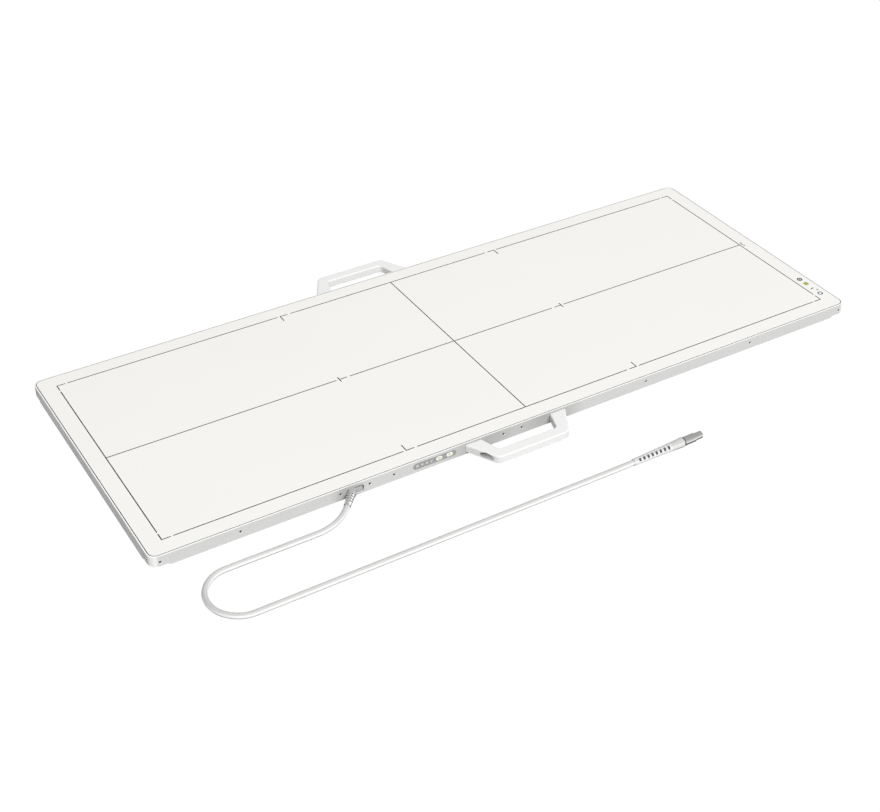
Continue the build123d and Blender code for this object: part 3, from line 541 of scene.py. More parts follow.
@dataclass(frozen=True)
class Finish:
    """A moulded, painted or coated surface with grain, tone drift and handling marks."""

    name: str
    tone: Colour
    other_tone: Colour
    smooth: float = 0.45
    rough: float = 0.6
    lumps: float = 900.0
    lump_height: float = 0.03 * MM
    patches: float = 7.0
    metallic: float = 0.0
    coat: float = 0.0
    gloss: float = 0.5
    coat_rough: float = 0.25
    fine_share: float = 0.4
    marks_per_patch: float = 2.3

    def build(self, effects: Effects) -> Material:
        """Makes the material.

        Args:
            effects: the shared effect groups.

        Returns:
            The new material.
        """
        material = bpy.data.materials.new(self.name)
        material.use_nodes = True
        paint = Paint(material.node_tree, effects)
        shader = paint.node("ShaderNodeBsdfPrincipled")
        output = paint.node("ShaderNodeOutputMaterial")
        bump = paint.node("ShaderNodeBump")
        paint.fill(bump, Strength=1.0, Distance=self.lump_height, Height=self._height(paint))
        paint.fill(
            shader, Base_Color=self._colour(paint), Metallic=self.metallic,
            Roughness=self._roughness(paint), Normal=bump.outputs["Normal"],
            Specular_IOR_Level=self.gloss, Coat_Weight=self.coat, Coat_Roughness=self.coat_rough
        )
        paint.feed(output.inputs["Surface"], shader.outputs["BSDF"])
        return material

    def _colour(self, paint: Paint) -> Socket:
        """The colour over the surface, as a socket."""
        tone, other_tone = (*self.tone, 1.0), (*self.other_tone, 1.0)
        return paint.effect(
            Effect.DRIFT, Tone=tone, Other_tone=other_tone, Patches_per_metre=self.patches
        )

    def _roughness(self, paint: Paint) -> Socket:
        """The roughness over the surface, as a socket."""
        marks = self.patches * self.marks_per_patch
        return paint.effect(
            Effect.HANDLING, Smooth=self.smooth, Rough=self.rough, Patches_per_metre=marks
        )

    def _height(self, paint: Paint) -> Socket:
        """The small relief of the surface, as a socket."""
        return paint.effect(Effect.GRAIN, Lumps_per_metre=self.lumps, Fine_share=self.fine_share)


@dataclass(frozen=True)
class BrushedFinish(Finish):
    """A metal with fine lines from turning or brushing."""

    lines: Point = (300.0, 6000.0, 6000.0)

    def _height(self, paint: Paint) -> Socket:
        """The tool's lines, as a socket."""
        return paint.effect(Effect.BRUSH, Lines_per_metre=self.lines)


@dataclass(frozen=True)
class Bay:
    """A stretch of wall near two things that stand out of it, or near one if they coincide, with painted
    shade.
    """

    middle: float
    half_spacing: float
    reach_out: float
    reach_in: float


@dataclass(frozen=True)
class EdgedFinish(Finish):
    """A coated wall with a painted highlight on its rim and rounded corners, and painted shade in its bays.
    """

    edge_painted_highlight: Colour = (0.92, 0.92, 0.91)
    softness: float = 0.45
    bay_painted_shade: Colour = (0.46, 0.465, 0.455)
    bays: tuple[Bay, ...] = ()

    def _colour(self, paint: Paint) -> Socket:
        """The wall's colour with painted shade in its bays and a painted highlight on its edges, as a socket.
        """
        wall = super()._colour(paint)
        # Painted shade on the wall near the things that stand out of it.
        for bay in self.bays:
            near = paint.effect(
                Effect.BAYS, Middle=bay.middle, Half_spacing=bay.half_spacing, Reach_out=bay.reach_out,
                Reach_in=bay.reach_in
            )
            wall = paint.over(near, wall, self.bay_painted_shade)
        # Painted highlight on the rim and the rounded corners.
        return paint.over(paint.effect(Effect.EDGES, Softness=self.softness), wall, self.edge_painted_highlight)


@dataclass(frozen=True)
class BoredFinish(Finish):
    """A moulding with two deep bores along Y that have painted shade inside."""

    shade: Colour = (0.3, 0.3, 0.3)
    middle: float = 0.0
    half_spacing: float = 0.0
    level: float = 0.0
    radius: float = 0.0

    def _colour(self, paint: Paint) -> Socket:
        """The moulding's colour with painted shade inside its bores, as a socket."""
        mask = paint.effect(
            Effect.BORES, Middle=self.middle, Half_spacing=self.half_spacing, Level=self.level,
            Radius=self.radius
        )
        return paint.over(mask, super()._colour(paint), self.shade)


@dataclass(frozen=True)
class RoundFinish(Finish):
    """A round moulding with painted light on its sides and painted shade underneath, so its top is greyer."""

    side_painted_light: Colour = (0.8, 0.8, 0.8)
    under_painted_shade: Colour = (0.38, 0.38, 0.38)
    side_from: float = 0.45
    top_from: float = 0.8
    under_full: float = -0.65
    under_from: float = -0.25

    def _colour(self, paint: Paint) -> Socket:
        """The moulding's colour with painted light on its sides and painted shade underneath, as a socket."""
        # Painted light on the sides and painted shade underneath, by which way the surface faces.
        upper = paint.effect(Effect.FACING, From=self.side_from, To=self.top_from)
        lit = paint.blend(upper, (*self.side_painted_light, 1.0), super()._colour(paint))
        lower = paint.effect(Effect.FACING, From=self.under_full, To=self.under_from)
        return paint.blend(lower, (*self.under_painted_shade, 1.0), lit)


@dataclass(frozen=True)
class TurnedFinish(RoundFinish):
    """A turned and plated metal with the fine lines of its turning, a painted reflection on its sides and
    painted shade underneath.
    """

    lines: Point = (9000.0, 900.0, 900.0)

    def _height(self, paint: Paint) -> Socket:
        """The turning's lines, as a socket."""
        return paint.effect(Effect.BRUSH, Lines_per_metre=self.lines)


@dataclass(frozen=True)
class SunkFinish(Finish):
    """A moulding set into a rounded oblong opening, with painted shade along its outline."""

    shade: Colour = (0.1, 0.1, 0.1)
    middle: Point = (0.0, 0.0, 0.0)
    straight_half: float = 0.0
    upright_half: float = 0.0
    corner: float = 4.0 * MM
    width: float = 2.6 * MM

    def _colour(self, paint: Paint) -> Socket:
        """The moulding's colour with painted shade along its outline, as a socket."""
        mask = paint.effect(
            Effect.OUTLINE, Middle=self.middle, Straight_half=self.straight_half,
            Upright_half=self.upright_half, Corner=self.corner, Width=self.width
        )
        return paint.over(mask, super()._colour(paint), self.shade)


@dataclass(frozen=True)
class SlottedFinish(RoundFinish):
    """A round moulding with painted shade in its windows below its tapered skin."""

    shade: Colour = (0.2, 0.2, 0.2)
    root: Point = (0.0, 0.0, 0.0)
    direction: Point = (1.0, 0.0, 0.0)
    root_radius: float = 5.0 * MM
    slope: float = 0.0
    full_depth: float = 1.0 * MM

    def _colour(self, paint: Paint) -> Socket:
        """The moulding's colour with painted shade inside its windows, as a socket."""
        depth = paint.effect(
            Effect.DEPTH, Root=self.root, Direction=self.direction, Root_radius=self.root_radius,
            Slope=self.slope, Full_depth=self.full_depth
        )
        return paint.over(depth, super()._colour(paint), self.shade)


@dataclass(frozen=True)
class BoardFinish(Finish):
    """A circuit board's lacquer with its conductors showing through."""

    trace: Colour = (0.10, 0.30, 0.14)
    lines: float = 160.0

    def _colour(self, paint: Paint) -> Socket:
        """The lacquer's colour with the conductors, as a socket."""
        mask = paint.effect(Effect.TRACES, Lines_per_metre=self.lines)
        return paint.over(mask, super()._colour(paint), self.trace)


@dataclass(frozen=True)
class LensFinish(Finish):
    """A clear or milky moulding that passes some light."""

    passing: float = 0.5

    def build(self, effects: Effects) -> Material:
        """Makes the material.

        Args:
            effects: the shared effect groups.

        Returns:
            The new material.
        """
        material = super().build(effects)
        shader = material.node_tree.nodes["Principled BSDF"]
        shader.inputs["Transmission Weight"].default_value = self.passing
        return material


class Workshop:
    """Turns meshes into pieces and gives them their finish, place and body."""

    def __init__(self, nodes: dict[str, bpy.types.Object]) -> None:
        """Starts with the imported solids.

        Args:
            nodes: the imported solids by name.
        """
        self.nodes = nodes
        self.effects = Effects()
        self.made: dict[str, Material] = {}

    def material(self, finish: Finish) -> Material:
        """Gives a finish's material, and makes it the first time.

        Args:
            finish: the finish wanted.

        Returns:
            Its material.
        """
        if finish.name not in self.made:
            self.made[finish.name] = finish.build(self.effects)
        return self.made[finish.name]

    def dress(self, finish: Finish, *names: str) -> None:
        """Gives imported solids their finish.

        Args:
            finish: the finish.
            names: the solids.
        """
        for name in names:
            for slot in self.nodes[name].material_slots:
                slot.material = self.material(finish)
        log.info("finish %s on %s", finish.name, ", ".join(names))

    def piece(
        self, name: str, mesh: bpy.types.Mesh, body: Body, slot: str, *replaced: str, sharp: float = 35.0
    ) -> None:
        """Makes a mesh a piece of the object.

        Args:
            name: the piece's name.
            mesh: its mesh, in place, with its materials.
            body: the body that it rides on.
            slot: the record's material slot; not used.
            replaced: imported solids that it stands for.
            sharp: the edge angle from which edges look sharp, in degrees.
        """
        mesh.name = name
        mesh.polygons.foreach_set("use_smooth", [True] * len(mesh.polygons))
        mesh.set_sharp_from_angle(angle=radians(sharp))
        made = show(bpy.data.objects.new(name, mesh))
        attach(made, body.value)
        if replaced:
            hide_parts(*replaced)
        log.info("piece %s: %d faces on %s", name, len(mesh.polygons), body.value)


def plain_mesh(name: str, shape: bmesh.types.BMesh, material: Material) -> bpy.types.Mesh:
    """Turns a shape in the making into a mesh of one material.

    Args:
        name: the mesh's name.
        shape: the shape, which is freed.
        material: the mesh's material.

    Returns:
        The new mesh.
    """
    mesh = bpy.data.meshes.new(name)
    shape.to_mesh(mesh)
    shape.free()
    mesh.materials.append(material)
    return mesh


def turned_mesh(
    profile: Profile, sides: int, root: Vector, direction: Vector, material: Material
) -> bpy.types.Mesh:
    """Turns a closed outline round an axis.

    Args:
        profile: the outline's corners as (radius, station along the axis), going round once.
        sides: the number of steps round the axis.
        root: the axis's start.
        direction: the axis's direction.
        material: the mesh's material.

    Returns:
        The new mesh, with its seam closed and its faces outwards.
    """
    shape = bmesh.new()
    aim = direction.to_track_quat("Z", "Y").to_matrix()
    rings = []
    for step in range(sides):
        turn = 2 * pi * step / sides
        places = [Vector((radius * cos(turn), radius * sin(turn), along)) for radius, along in profile]
        rings.append([shape.verts.new(root + aim @ place) for place in places])
    for here, there in zip(rings, rings[1:] + rings[:1]):
        for number in range(len(profile)):
            after = (number + 1) % len(profile)
            shape.faces.new((here[number], here[after], there[after], there[number]))
    bmesh.ops.remove_doubles(shape, verts=shape.verts, dist=WELD)
    bmesh.ops.recalc_face_normals(shape, faces=shape.faces)
    return plain_mesh("turned", shape, material)


@dataclass(frozen=True)
class Stencil:
    """Thin printed shapes on a flat face, drawn in mm and given a film's thickness."""

    origin: Vector
    across: Vector
    up: Vector
    thickness: float = 0.03 * MM
    arc_step: float = 12.0
    fewest_steps: int = 6
    shapes: list[list[Profile]] = field(default_factory=list)

    def ring(
        self, x: float, y: float, outer: float, inner: float, start: float = 0.0, sweep: float = 360.0
    ) -> None:
        """Adds a ring or part of one.

        Args:
            x: its middle across the face.
            y: its middle up the face.
            outer: its outer radius.
            inner: its inner radius.
            start: where it starts, in degrees.
            sweep: how far it goes round, in degrees.
        """
        steps = max(self.fewest_steps, int(sweep / self.arc_step))
        turns = [radians(start + sweep * step / steps) for step in range(steps + 1)]
        quads = []
        for before, after in zip(turns, turns[1:]):
            corners = ((inner, before), (outer, before), (outer, after), (inner, after))
            quads.append([(x + radius * cos(turn), y + radius * sin(turn)) for radius, turn in corners])
        self.shapes.append(quads)

    def polygon(self, *corners: tuple[float, float]) -> None:
        """Adds a filled outline.

        Args:
            corners: its corners, anticlockwise seen from outside.
        """
        self.shapes.append([list(corners)])

    def bar(self, x: float, y: float, length: float, height: float, turn: float = 0.0) -> None:
        """Adds a bar.

        Args:
            x: its middle across the face.
            y: its middle up the face.
            length: its size across before it turns.
            height: its size up before it turns.
            turn: how far it is turned, in degrees.
        """
        c, s = cos(radians(turn)), sin(radians(turn))
        corners = [(a * length / 2, b * height / 2) for a, b in ((-1, -1), (1, -1), (1, 1), (-1, 1))]
        self.polygon(*[(x + a * c - b * s, y + a * s + b * c) for a, b in corners])

    def mesh(self, material: Material) -> bpy.types.Mesh:
        """Makes all shapes one mesh.

        Args:
            material: the ink.

        Returns:
            The new mesh.
        """
        shape = bmesh.new()
        for quads in self.shapes:
            fresh = []
            for corners in quads:
                places = [self.origin + self.across * (a * MM) + self.up * (b * MM) for a, b in corners]
                fresh.append(shape.faces.new([shape.verts.new(place) for place in places]))
            doubles = list(dict.fromkeys(vert for face in fresh for vert in face.verts))
            bmesh.ops.remove_doubles(shape, verts=doubles, dist=WELD)
        outwards = self.across.cross(self.up)
        grown = bmesh.ops.extrude_face_region(shape, geom=list(shape.faces))
        lifted = [part for part in grown["geom"] if isinstance(part, bmesh.types.BMVert)]
        bmesh.ops.translate(shape, verts=lifted, vec=outwards * self.thickness)
        bmesh.ops.recalc_face_normals(shape, faces=shape.faces)
        return plain_mesh("print", shape, material)


class Recipe:
    """A Geometry Nodes tree with named sizes, evaluated once into a plain mesh."""

    AIM, RECESS = "aim", "recess"

    def __init__(self, name: str, sizes: dict[str, float]) -> None:
        """Starts a tree.

        Args:
            name: the tree's name.
            sizes: the named inputs and their values.
        """
        self.tree = bpy.data.node_groups.new(name, "GeometryNodeTree")
        self.sizes = sizes
        face = self.tree.interface
        face.new_socket(name="Geometry", in_out="INPUT", socket_type="NodeSocketGeometry")
        self.keys = {}
        for label in sizes:
            made = face.new_socket(name=label, in_out="INPUT", socket_type="NodeSocketFloat")
            self.keys[label] = made.identifier
        face.new_socket(name="Geometry", in_out="OUTPUT", socket_type="NodeSocketGeometry")
        self.graph = Graph(self.tree)
        self.entry = self.graph.node("NodeGroupInput")
        self.end = self.graph.node("NodeGroupOutput")

    def size(self, label: str) -> Socket:
        """The socket of a named size."""
        return self.entry.outputs[label]

    def finish(self, shape: Socket, material: Material, inner: Material) -> None:
        """Ends the tree.

        Args:
            shape: the geometry.
            material: what it is made of.
            inner: the painted-shade material that the faces marked as recess are given.
        """
        real = self.graph.node("GeometryNodeRealizeInstances")
        self.graph.feed(real.inputs[0], shape)
        coat = self.graph.node("GeometryNodeSetMaterial")
        self.graph.fill(coat, Geometry=real.outputs[0], Material=material)
        marked = self.graph.node("GeometryNodeInputNamedAttribute", data_type="BOOLEAN")
        self.graph.fill(marked, Name=self.RECESS)
        last = self.graph.node("GeometryNodeSetMaterial")
        chosen = marked.outputs["Attribute"]
        self.graph.fill(last, Geometry=coat.outputs[0], Selection=chosen, Material=inner)
        self.graph.feed(self.end.inputs[0], last.outputs[0])

    def mesh(self, places: Places) -> bpy.types.Mesh:
        """Evaluates the tree on points.

        Args:
            places: each point and the direction that it faces.

        Returns:
            The plain mesh.
        """
        points = bpy.data.meshes.new("points")
        points.from_pydata([place for place, _ in places], [], [])
        aims = points.attributes.new(self.AIM, "FLOAT_VECTOR", "POINT")
        aims.data.foreach_set("vector", [part for _, aim in places for part in aim])
        carrier = show(bpy.data.objects.new("carrier", points))
        modifier = carrier.modifiers.new("recipe", "NODES")
        modifier.node_group = self.tree
        for label, value in self.sizes.items():
            modifier[self.keys[label]] = value
        depsgraph = bpy.context.evaluated_depsgraph_get()
        mesh = bpy.data.meshes.new_from_object(carrier.evaluated_get(depsgraph))
        carrier.modifiers.clear()
        bpy.data.objects.remove(carrier)
        for name in (self.AIM, self.RECESS):
            if name in mesh.attributes:
                mesh.attributes.remove(mesh.attributes[name])
        return mesh


@dataclass(frozen=True)
class ScrewSet:
    """Screws of one size with a hexagonal socket, made by one Geometry Nodes tree."""

    name: str
    replaced: str
    places: Places
    length: float
    sunk: float = 0.5 * MM
    head_radius: float = 1.95 * MM
    head_root: float = 1.45 * MM
    head_depth: float = 0.68 * MM
    shank_radius: float = 1.45 * MM
    socket_radius: float = 1.2 * MM
    socket_depth: float = 0.55 * MM
    sides: int = 24
    shank_sides: int = 12
    recess_from: float = 0.05 * MM
    seed: int = 11
    sharp: float = 30.0

    def build(self, shop: Workshop) -> None:
        """Makes the screws.

        Args:
            shop: the workshop.
        """
        sizes = {
            "Head radius": self.head_radius,
            "Head root": self.head_root,
            "Head depth": self.head_depth,
            "Shank radius": self.shank_radius,
            "Shank length": self.length - self.head_depth - self.sunk,
            "Socket radius": self.socket_radius,
            "Socket depth": self.socket_depth,
            "Sunk": self.sunk,
        }
        recipe = Recipe(self.name + "_recipe", sizes)
        graph, size = recipe.graph, recipe.size
        head_low = graph.math("MULTIPLY", size("Head depth"), -1.0)
        head = self._round(
            graph, "Cone", self.sides, Radius_Top=size("Head radius"), Radius_Bottom=size("Head root"),
            Depth=size("Head depth")
        )
        double = graph.math("MULTIPLY", size("Socket depth"), 2.0)
        prism = self._round(graph, "Cylinder", 6, Radius=size("Socket radius"), Depth=double)
        cut = graph.node("GeometryNodeMeshBoolean", operation="DIFFERENCE", solver="EXACT")
        graph.fill(cut, Mesh_1=self._lift(graph, head, head_low), Mesh_2=prism)
        marked = self._mark_recess(graph, cut.outputs["Mesh"], size("Socket radius"))
        shank = self._round(
            graph, "Cylinder", self.shank_sides, Radius=size("Shank radius"), Depth=size("Shank length")
        )
        middle = graph.math("MULTIPLY", size("Shank length"), -0.5)
        both = graph.node("GeometryNodeJoinGeometry")
        graph.feed(both.inputs[0], marked)
        graph.feed(both.inputs[0], self._lift(graph, shank, graph.math("ADD", middle, head_low)))
        screw = self._lift(graph, both.outputs[0], graph.math("MULTIPLY", size("Sunk"), -1.0))
        screws = self._instances(graph, recipe, screw)
        recipe.finish(screws, shop.material(Palette.SCREW), shop.material(Palette.RECESS))
        mesh = recipe.mesh(self.places)
        shop.piece(self.name, mesh, Body.PANEL, "steel", self.replaced, sharp=self.sharp)

    @staticmethod
    def _round(graph: Graph, kind: str, sides: int, **values: object) -> Socket:
        """Adds a cone or a cylinder.

        Args:
            graph: the tree's graph.
            kind: Cone or Cylinder.
            sides: how many sides it has.
            values: its other inputs, by name with _ for each space.

        Returns:
            Its mesh's socket.
        """
        made = graph.node("GeometryNodeMesh" + kind)
        return graph.fill(made, Vertices=sides, **values).outputs["Mesh"]

    @staticmethod
    def _lift(graph: Graph, shape: Socket, height: object) -> Socket:
        """Moves a shape along its axis.

        Args:
            graph: the tree's graph.
            shape: the geometry.
            height: how far it moves up.

        Returns:
            The moved geometry.
        """
        moved = graph.node("GeometryNodeTransform")
        return graph.fill(moved, Geometry=shape, Translation=graph.joined(z=height)).outputs[0]

    def _mark_recess(self, graph: Graph, shape: Socket, radius: Socket) -> Socket:
        """Marks the faces inside the socket, which get painted shade.

        Args:
            graph: the tree's graph.
            shape: the screw's head.
            radius: the socket's radius.

        Returns:
            The marked geometry.
        """
        position = graph.node("GeometryNodeInputPosition").outputs[0]
        flat = graph.vector("MULTIPLY", position, (1.0, 1.0, 0.0)).outputs[0]
        inside = graph.math("LESS_THAN", graph.length(flat), radius)
        below = graph.math("LESS_THAN", graph.parts(position)[2], -self.recess_from)
        store = graph.node("GeometryNodeStoreNamedAttribute", data_type="BOOLEAN", domain="FACE")
        both = graph.math("MULTIPLY", inside, below)
        return graph.fill(store, Geometry=shape, Name=Recipe.RECESS, Value=both).outputs[0]

    def _instances(self, graph: Graph, recipe: Recipe, screw: Socket) -> Socket:
        """Puts a screw at each point, each turned a little differently.

        Args:
            graph: the tree's graph.
            recipe: the tree.
            screw: the screw's geometry.

        Returns:
            The instances.
        """
        aim = graph.node("GeometryNodeInputNamedAttribute", data_type="FLOAT_VECTOR")
        graph.fill(aim, Name=Recipe.AIM)
        align = graph.node("FunctionNodeAlignRotationToVector", axis="Z")
        graph.fill(align, Vector=aim.outputs["Attribute"])
        spin = graph.node("FunctionNodeRandomValue", data_type="FLOAT")
        graph.fill(spin, Min=0.0, Max=pi, Seed=self.seed)
        own = graph.fill(graph.node("FunctionNodeAxisAngleToRotation"), Angle=spin.outputs[1])
        turn = graph.node("FunctionNodeRotateRotation", rotation_space="LOCAL")
        graph.feed(turn.inputs[0], align.outputs[0])
        graph.feed(turn.inputs[1], own.outputs[0])
        spread = graph.node("GeometryNodeInstanceOnPoints")
        points = recipe.entry.outputs["Geometry"]
        graph.fill(spread, Points=points, Instance=screw, Rotation=turn.outputs[0])
        return spread.outputs[0]


class Palette:
    """The finishes of the whole detector.

    Each row gives the finish's name and two tones, then how smooth and rough it is, its lumps per
    metre, their height and its patches per metre.
    """

    PLATE = Finish(
        "sheet_white", (0.885, 0.875, 0.845), (0.878, 0.869, 0.84), 0.5, 0.6, 2200.0, 0.006 * MM, 3.0
    )
    # Painted highlight on the housing's rim and rounded corners.
    HOUSING = EdgedFinish(
        "coated_housing", (0.645, 0.645, 0.64), (0.64, 0.64, 0.635), 0.36, 0.44, 1400.0, 0.008 * MM, 5.0,
        gloss=0.25
    )
    # Painted shade on the wall round the handle feet and round the socket.
    HANDLE_BAY = Bay(HANDLE_CENTRE, HANDLE_BORE_HALF, 62.0 * MM, 125.0 * MM)
    SOCKET_BAY = Bay(-330.0 * MM, 0.0, 32.0 * MM, 32.0 * MM)
    NEAR_HOUSING = replace(HOUSING, name="coated_near_rail", bays=(HANDLE_BAY, SOCKET_BAY))
    FAR_HOUSING = replace(HOUSING, name="coated_far_rail", bays=(HANDLE_BAY,))
    # Painted highlight on the caps' rims and rounded corners.
    CAP = EdgedFinish(
        "cap_grey", (0.655, 0.655, 0.65), (0.65, 0.65, 0.645), 0.38, 0.48, 1500.0, 0.01 * MM, 12.0,
        gloss=0.25
    )
    # Painted shade inside the handle's screw bores.
    HANDLE = BoredFinish(
        "handle_white", (0.84, 0.84, 0.835), (0.835, 0.835, 0.83), 0.36, 0.46, 1600.0, 0.012 * MM, 9.0,
        shade=(0.6, 0.6, 0.595), middle=HANDLE_CENTRE, half_spacing=HANDLE_BORE_HALF,
        level=HANDLE_BORE_LEVEL, radius=5.7 * MM
    )
    COVER = Finish(
        "cover_grey", (0.55, 0.55, 0.545), (0.53, 0.53, 0.525), 0.42, 0.55, 1100.0, 0.02 * MM, 4.0
    )
    PAD = Finish(
        "pad_rubber", (0.6, 0.6, 0.595), (0.57, 0.57, 0.565), 0.65, 0.8, 2600.0, 0.02 * MM, 20.0
    )
    SEAL = Finish(
        "seal_rubber", (0.05, 0.052, 0.05), (0.065, 0.067, 0.065), 0.7, 0.85, 2600.0, 0.02 * MM, 20.0
    )
    INK = Finish(
        "print_grey", (0.045, 0.047, 0.042), (0.06, 0.062, 0.056), 0.55, 0.7, 4200.0, 0.004 * MM, 60.0
    )
    DARK_INK = Finish(
        "print_black", (0.03, 0.03, 0.03), (0.05, 0.05, 0.05), 0.5, 0.65, 4200.0, 0.004 * MM, 60.0
    )
    BLUE_INK = replace(
        DARK_INK, name="print_blue", tone=(0.06, 0.10, 0.20), other_tone=(0.08, 0.12, 0.23)
    )
    OLIVE_INK = replace(
        DARK_INK, name="print_olive", tone=(0.42, 0.40, 0.10), other_tone=(0.36, 0.34, 0.08)
    )
    WINDOW = Finish(
        "window_grey", (0.32, 0.32, 0.315), (0.30, 0.30, 0.295), 0.22, 0.32, 1800.0, 0.004 * MM, 18.0,
        coat=0.3
    )
    BUTTON = Finish(
        "button_white", (0.88, 0.885, 0.875), (0.86, 0.865, 0.855), 0.35, 0.45, 2200.0, 0.008 * MM, 30.0
    )
    SYMBOL = Finish(
        "symbol_green", (0.42, 0.50, 0.12), (0.38, 0.46, 0.1), 0.4, 0.5, 3000.0, 0.004 * MM, 60.0
    )
    ICON = replace(
        SYMBOL, name="icon_pale", tone=(0.75, 0.76, 0.75), other_tone=(0.7, 0.71, 0.7)
    )
    LIGHT = LensFinish(
        "light_milky", (0.85, 0.87, 0.86), (0.8, 0.83, 0.82), 0.12, 0.2, 2600.0, 0.003 * MM, 40.0,
        passing=0.35
    )
    SCREW = BrushedFinish(
        "screw_dark", (0.16, 0.16, 0.16), (0.2, 0.2, 0.2), 0.35, 0.48, lump_height=0.004 * MM,
        metallic=1.0
    )
    # Painted shade inside the screws' hexagon sockets.
    RECESS = Finish(
        "screw_socket_painted_shade", (0.02, 0.02, 0.02), (0.035, 0.035, 0.035), 0.5, 0.7, 3000.0, 0.01 * MM, 40.0
    )
    ALUMINIUM = BrushedFinish(
        "milled_aluminium", (0.72, 0.72, 0.72), (0.66, 0.66, 0.66), 0.3, 0.45, lump_height=0.004 * MM,
        metallic=1.0
    )
    # Painted reflection band on the sleeve's sides and painted shade on its lower side.
    CHROME = TurnedFinish(
        "sleeve_chrome", (0.55, 0.55, 0.545), (0.53, 0.53, 0.525), 0.36, 0.44, lump_height=0.003 * MM,
        metallic=0.6, side_painted_light=(0.75, 0.75, 0.745), under_painted_shade=(0.04, 0.04, 0.04), side_from=0.5,
        top_from=0.68, under_full=-0.1, under_from=0.12
    )
    BRASS = Finish(
        "contact_gold", (0.80, 0.58, 0.25), (0.72, 0.5, 0.2), 0.2, 0.32, 3000.0, 0.003 * MM, 60.0,
        metallic=1.0
    )
    # Painted shade along the top and ends of the plug's outline in the socket.
    PLUG = SunkFinish(
        "plug_grey", (0.46, 0.465, 0.46), (0.44, 0.445, 0.44), 0.45, 0.6, 1700.0, 0.015 * MM, 20.0,
        gloss=0.3, middle=(SOCKET_CENTRE, -HALF_WIDTH, 9.75 * MM), straight_half=10.25 * MM,
        upright_half=2.5 * MM, corner=2.6 * MM, width=1.4 * MM
    )
    # Painted light on the lead's sides and painted shade underneath; SHELL below keeps them.
    JACKET = RoundFinish(
        "lead_jacket", (0.59, 0.59, 0.585), (0.57, 0.57, 0.565), 0.32, 0.42, 1300.0, 0.015 * MM, 9.0,
        gloss=0.2, side_painted_light=(0.84, 0.84, 0.835), under_painted_shade=(0.3, 0.3, 0.3), under_full=-0.45,
        under_from=-0.1
    )
    SHELL = replace(
        JACKET, name="connector_shell", tone=(0.54, 0.54, 0.535), other_tone=(0.52, 0.52, 0.515),
        side_painted_light=(0.7, 0.7, 0.695)
    )
    # Painted shade in the boot's slots, painted light on its sides and painted shade underneath.
    BOOT = SlottedFinish(
        "boot_grey", (0.42, 0.42, 0.415), (0.4, 0.4, 0.395), 0.45, 0.6, 1700.0, 0.015 * MM, 20.0,
        gloss=0.2, side_painted_light=(0.9, 0.9, 0.895), under_painted_shade=(0.12, 0.12, 0.12), side_from=0.7,
        top_from=0.95, under_full=0.1, under_from=0.5, shade=(0.02, 0.02, 0.02), full_depth=0.5 * MM
    )
    # Painted shade in the grip's windows, painted light on its sides and painted shade underneath.
    GRIP = SlottedFinish(
        "grip_white", (0.62, 0.62, 0.615), (0.6, 0.6, 0.595), 0.35, 0.48, 1500.0, 0.015 * MM, 12.0,
        gloss=0.2, side_painted_light=(0.78, 0.78, 0.775), shade=(0.1, 0.1, 0.1), full_depth=1.1 * MM
    )
    INSERT = Finish(
        "insert_dark", (0.03, 0.03, 0.032), (0.045, 0.045, 0.047), 0.4, 0.55, 2600.0, 0.01 * MM, 40.0
    )
    FOAM = Finish(
        "foam_grey", (0.08, 0.08, 0.085), (0.11, 0.11, 0.115), 0.9, 1.0, 1500.0, 0.15 * MM, 12.0
    )
    PHOSPHOR = Finish(
        "phosphor_white", (0.84, 0.86, 0.80), (0.82, 0.84, 0.78), 0.7, 0.85, 5200.0, 0.01 * MM, 6.0
    )
    GLASS = Finish(
        "sensor_glass", (0.12, 0.14, 0.16), (0.15, 0.12, 0.18), 0.06, 0.12, 4000.0, 0.002 * MM, 6.0,
        coat=0.6
    )
    LEAD_SHEET = Finish(
        "lead_sheet", (0.22, 0.22, 0.24), (0.27, 0.27, 0.29), 0.5, 0.7, 500.0, 0.05 * MM, 10.0,
        metallic=0.7
    )
    FILM = Finish(
        "flex_amber", (0.55, 0.27, 0.05), (0.48, 0.22, 0.04), 0.25, 0.4, 2600.0, 0.006 * MM, 20.0
    )
    BOARD = BoardFinish(
        "board_green", (0.02, 0.13, 0.06), (0.03, 0.16, 0.07), 0.25, 0.4, 2600.0, 0.01 * MM, 12.0
    )
    CHIP = Finish(
        "chip_black", (0.02, 0.02, 0.022), (0.03, 0.03, 0.032), 0.5, 0.65, 3600.0, 0.008 * MM, 30.0
    )
    THERMAL = Finish(
        "thermal_pad", (0.36, 0.42, 0.46), (0.32, 0.38, 0.42), 0.75, 0.9, 2000.0, 0.03 * MM, 20.0
    )


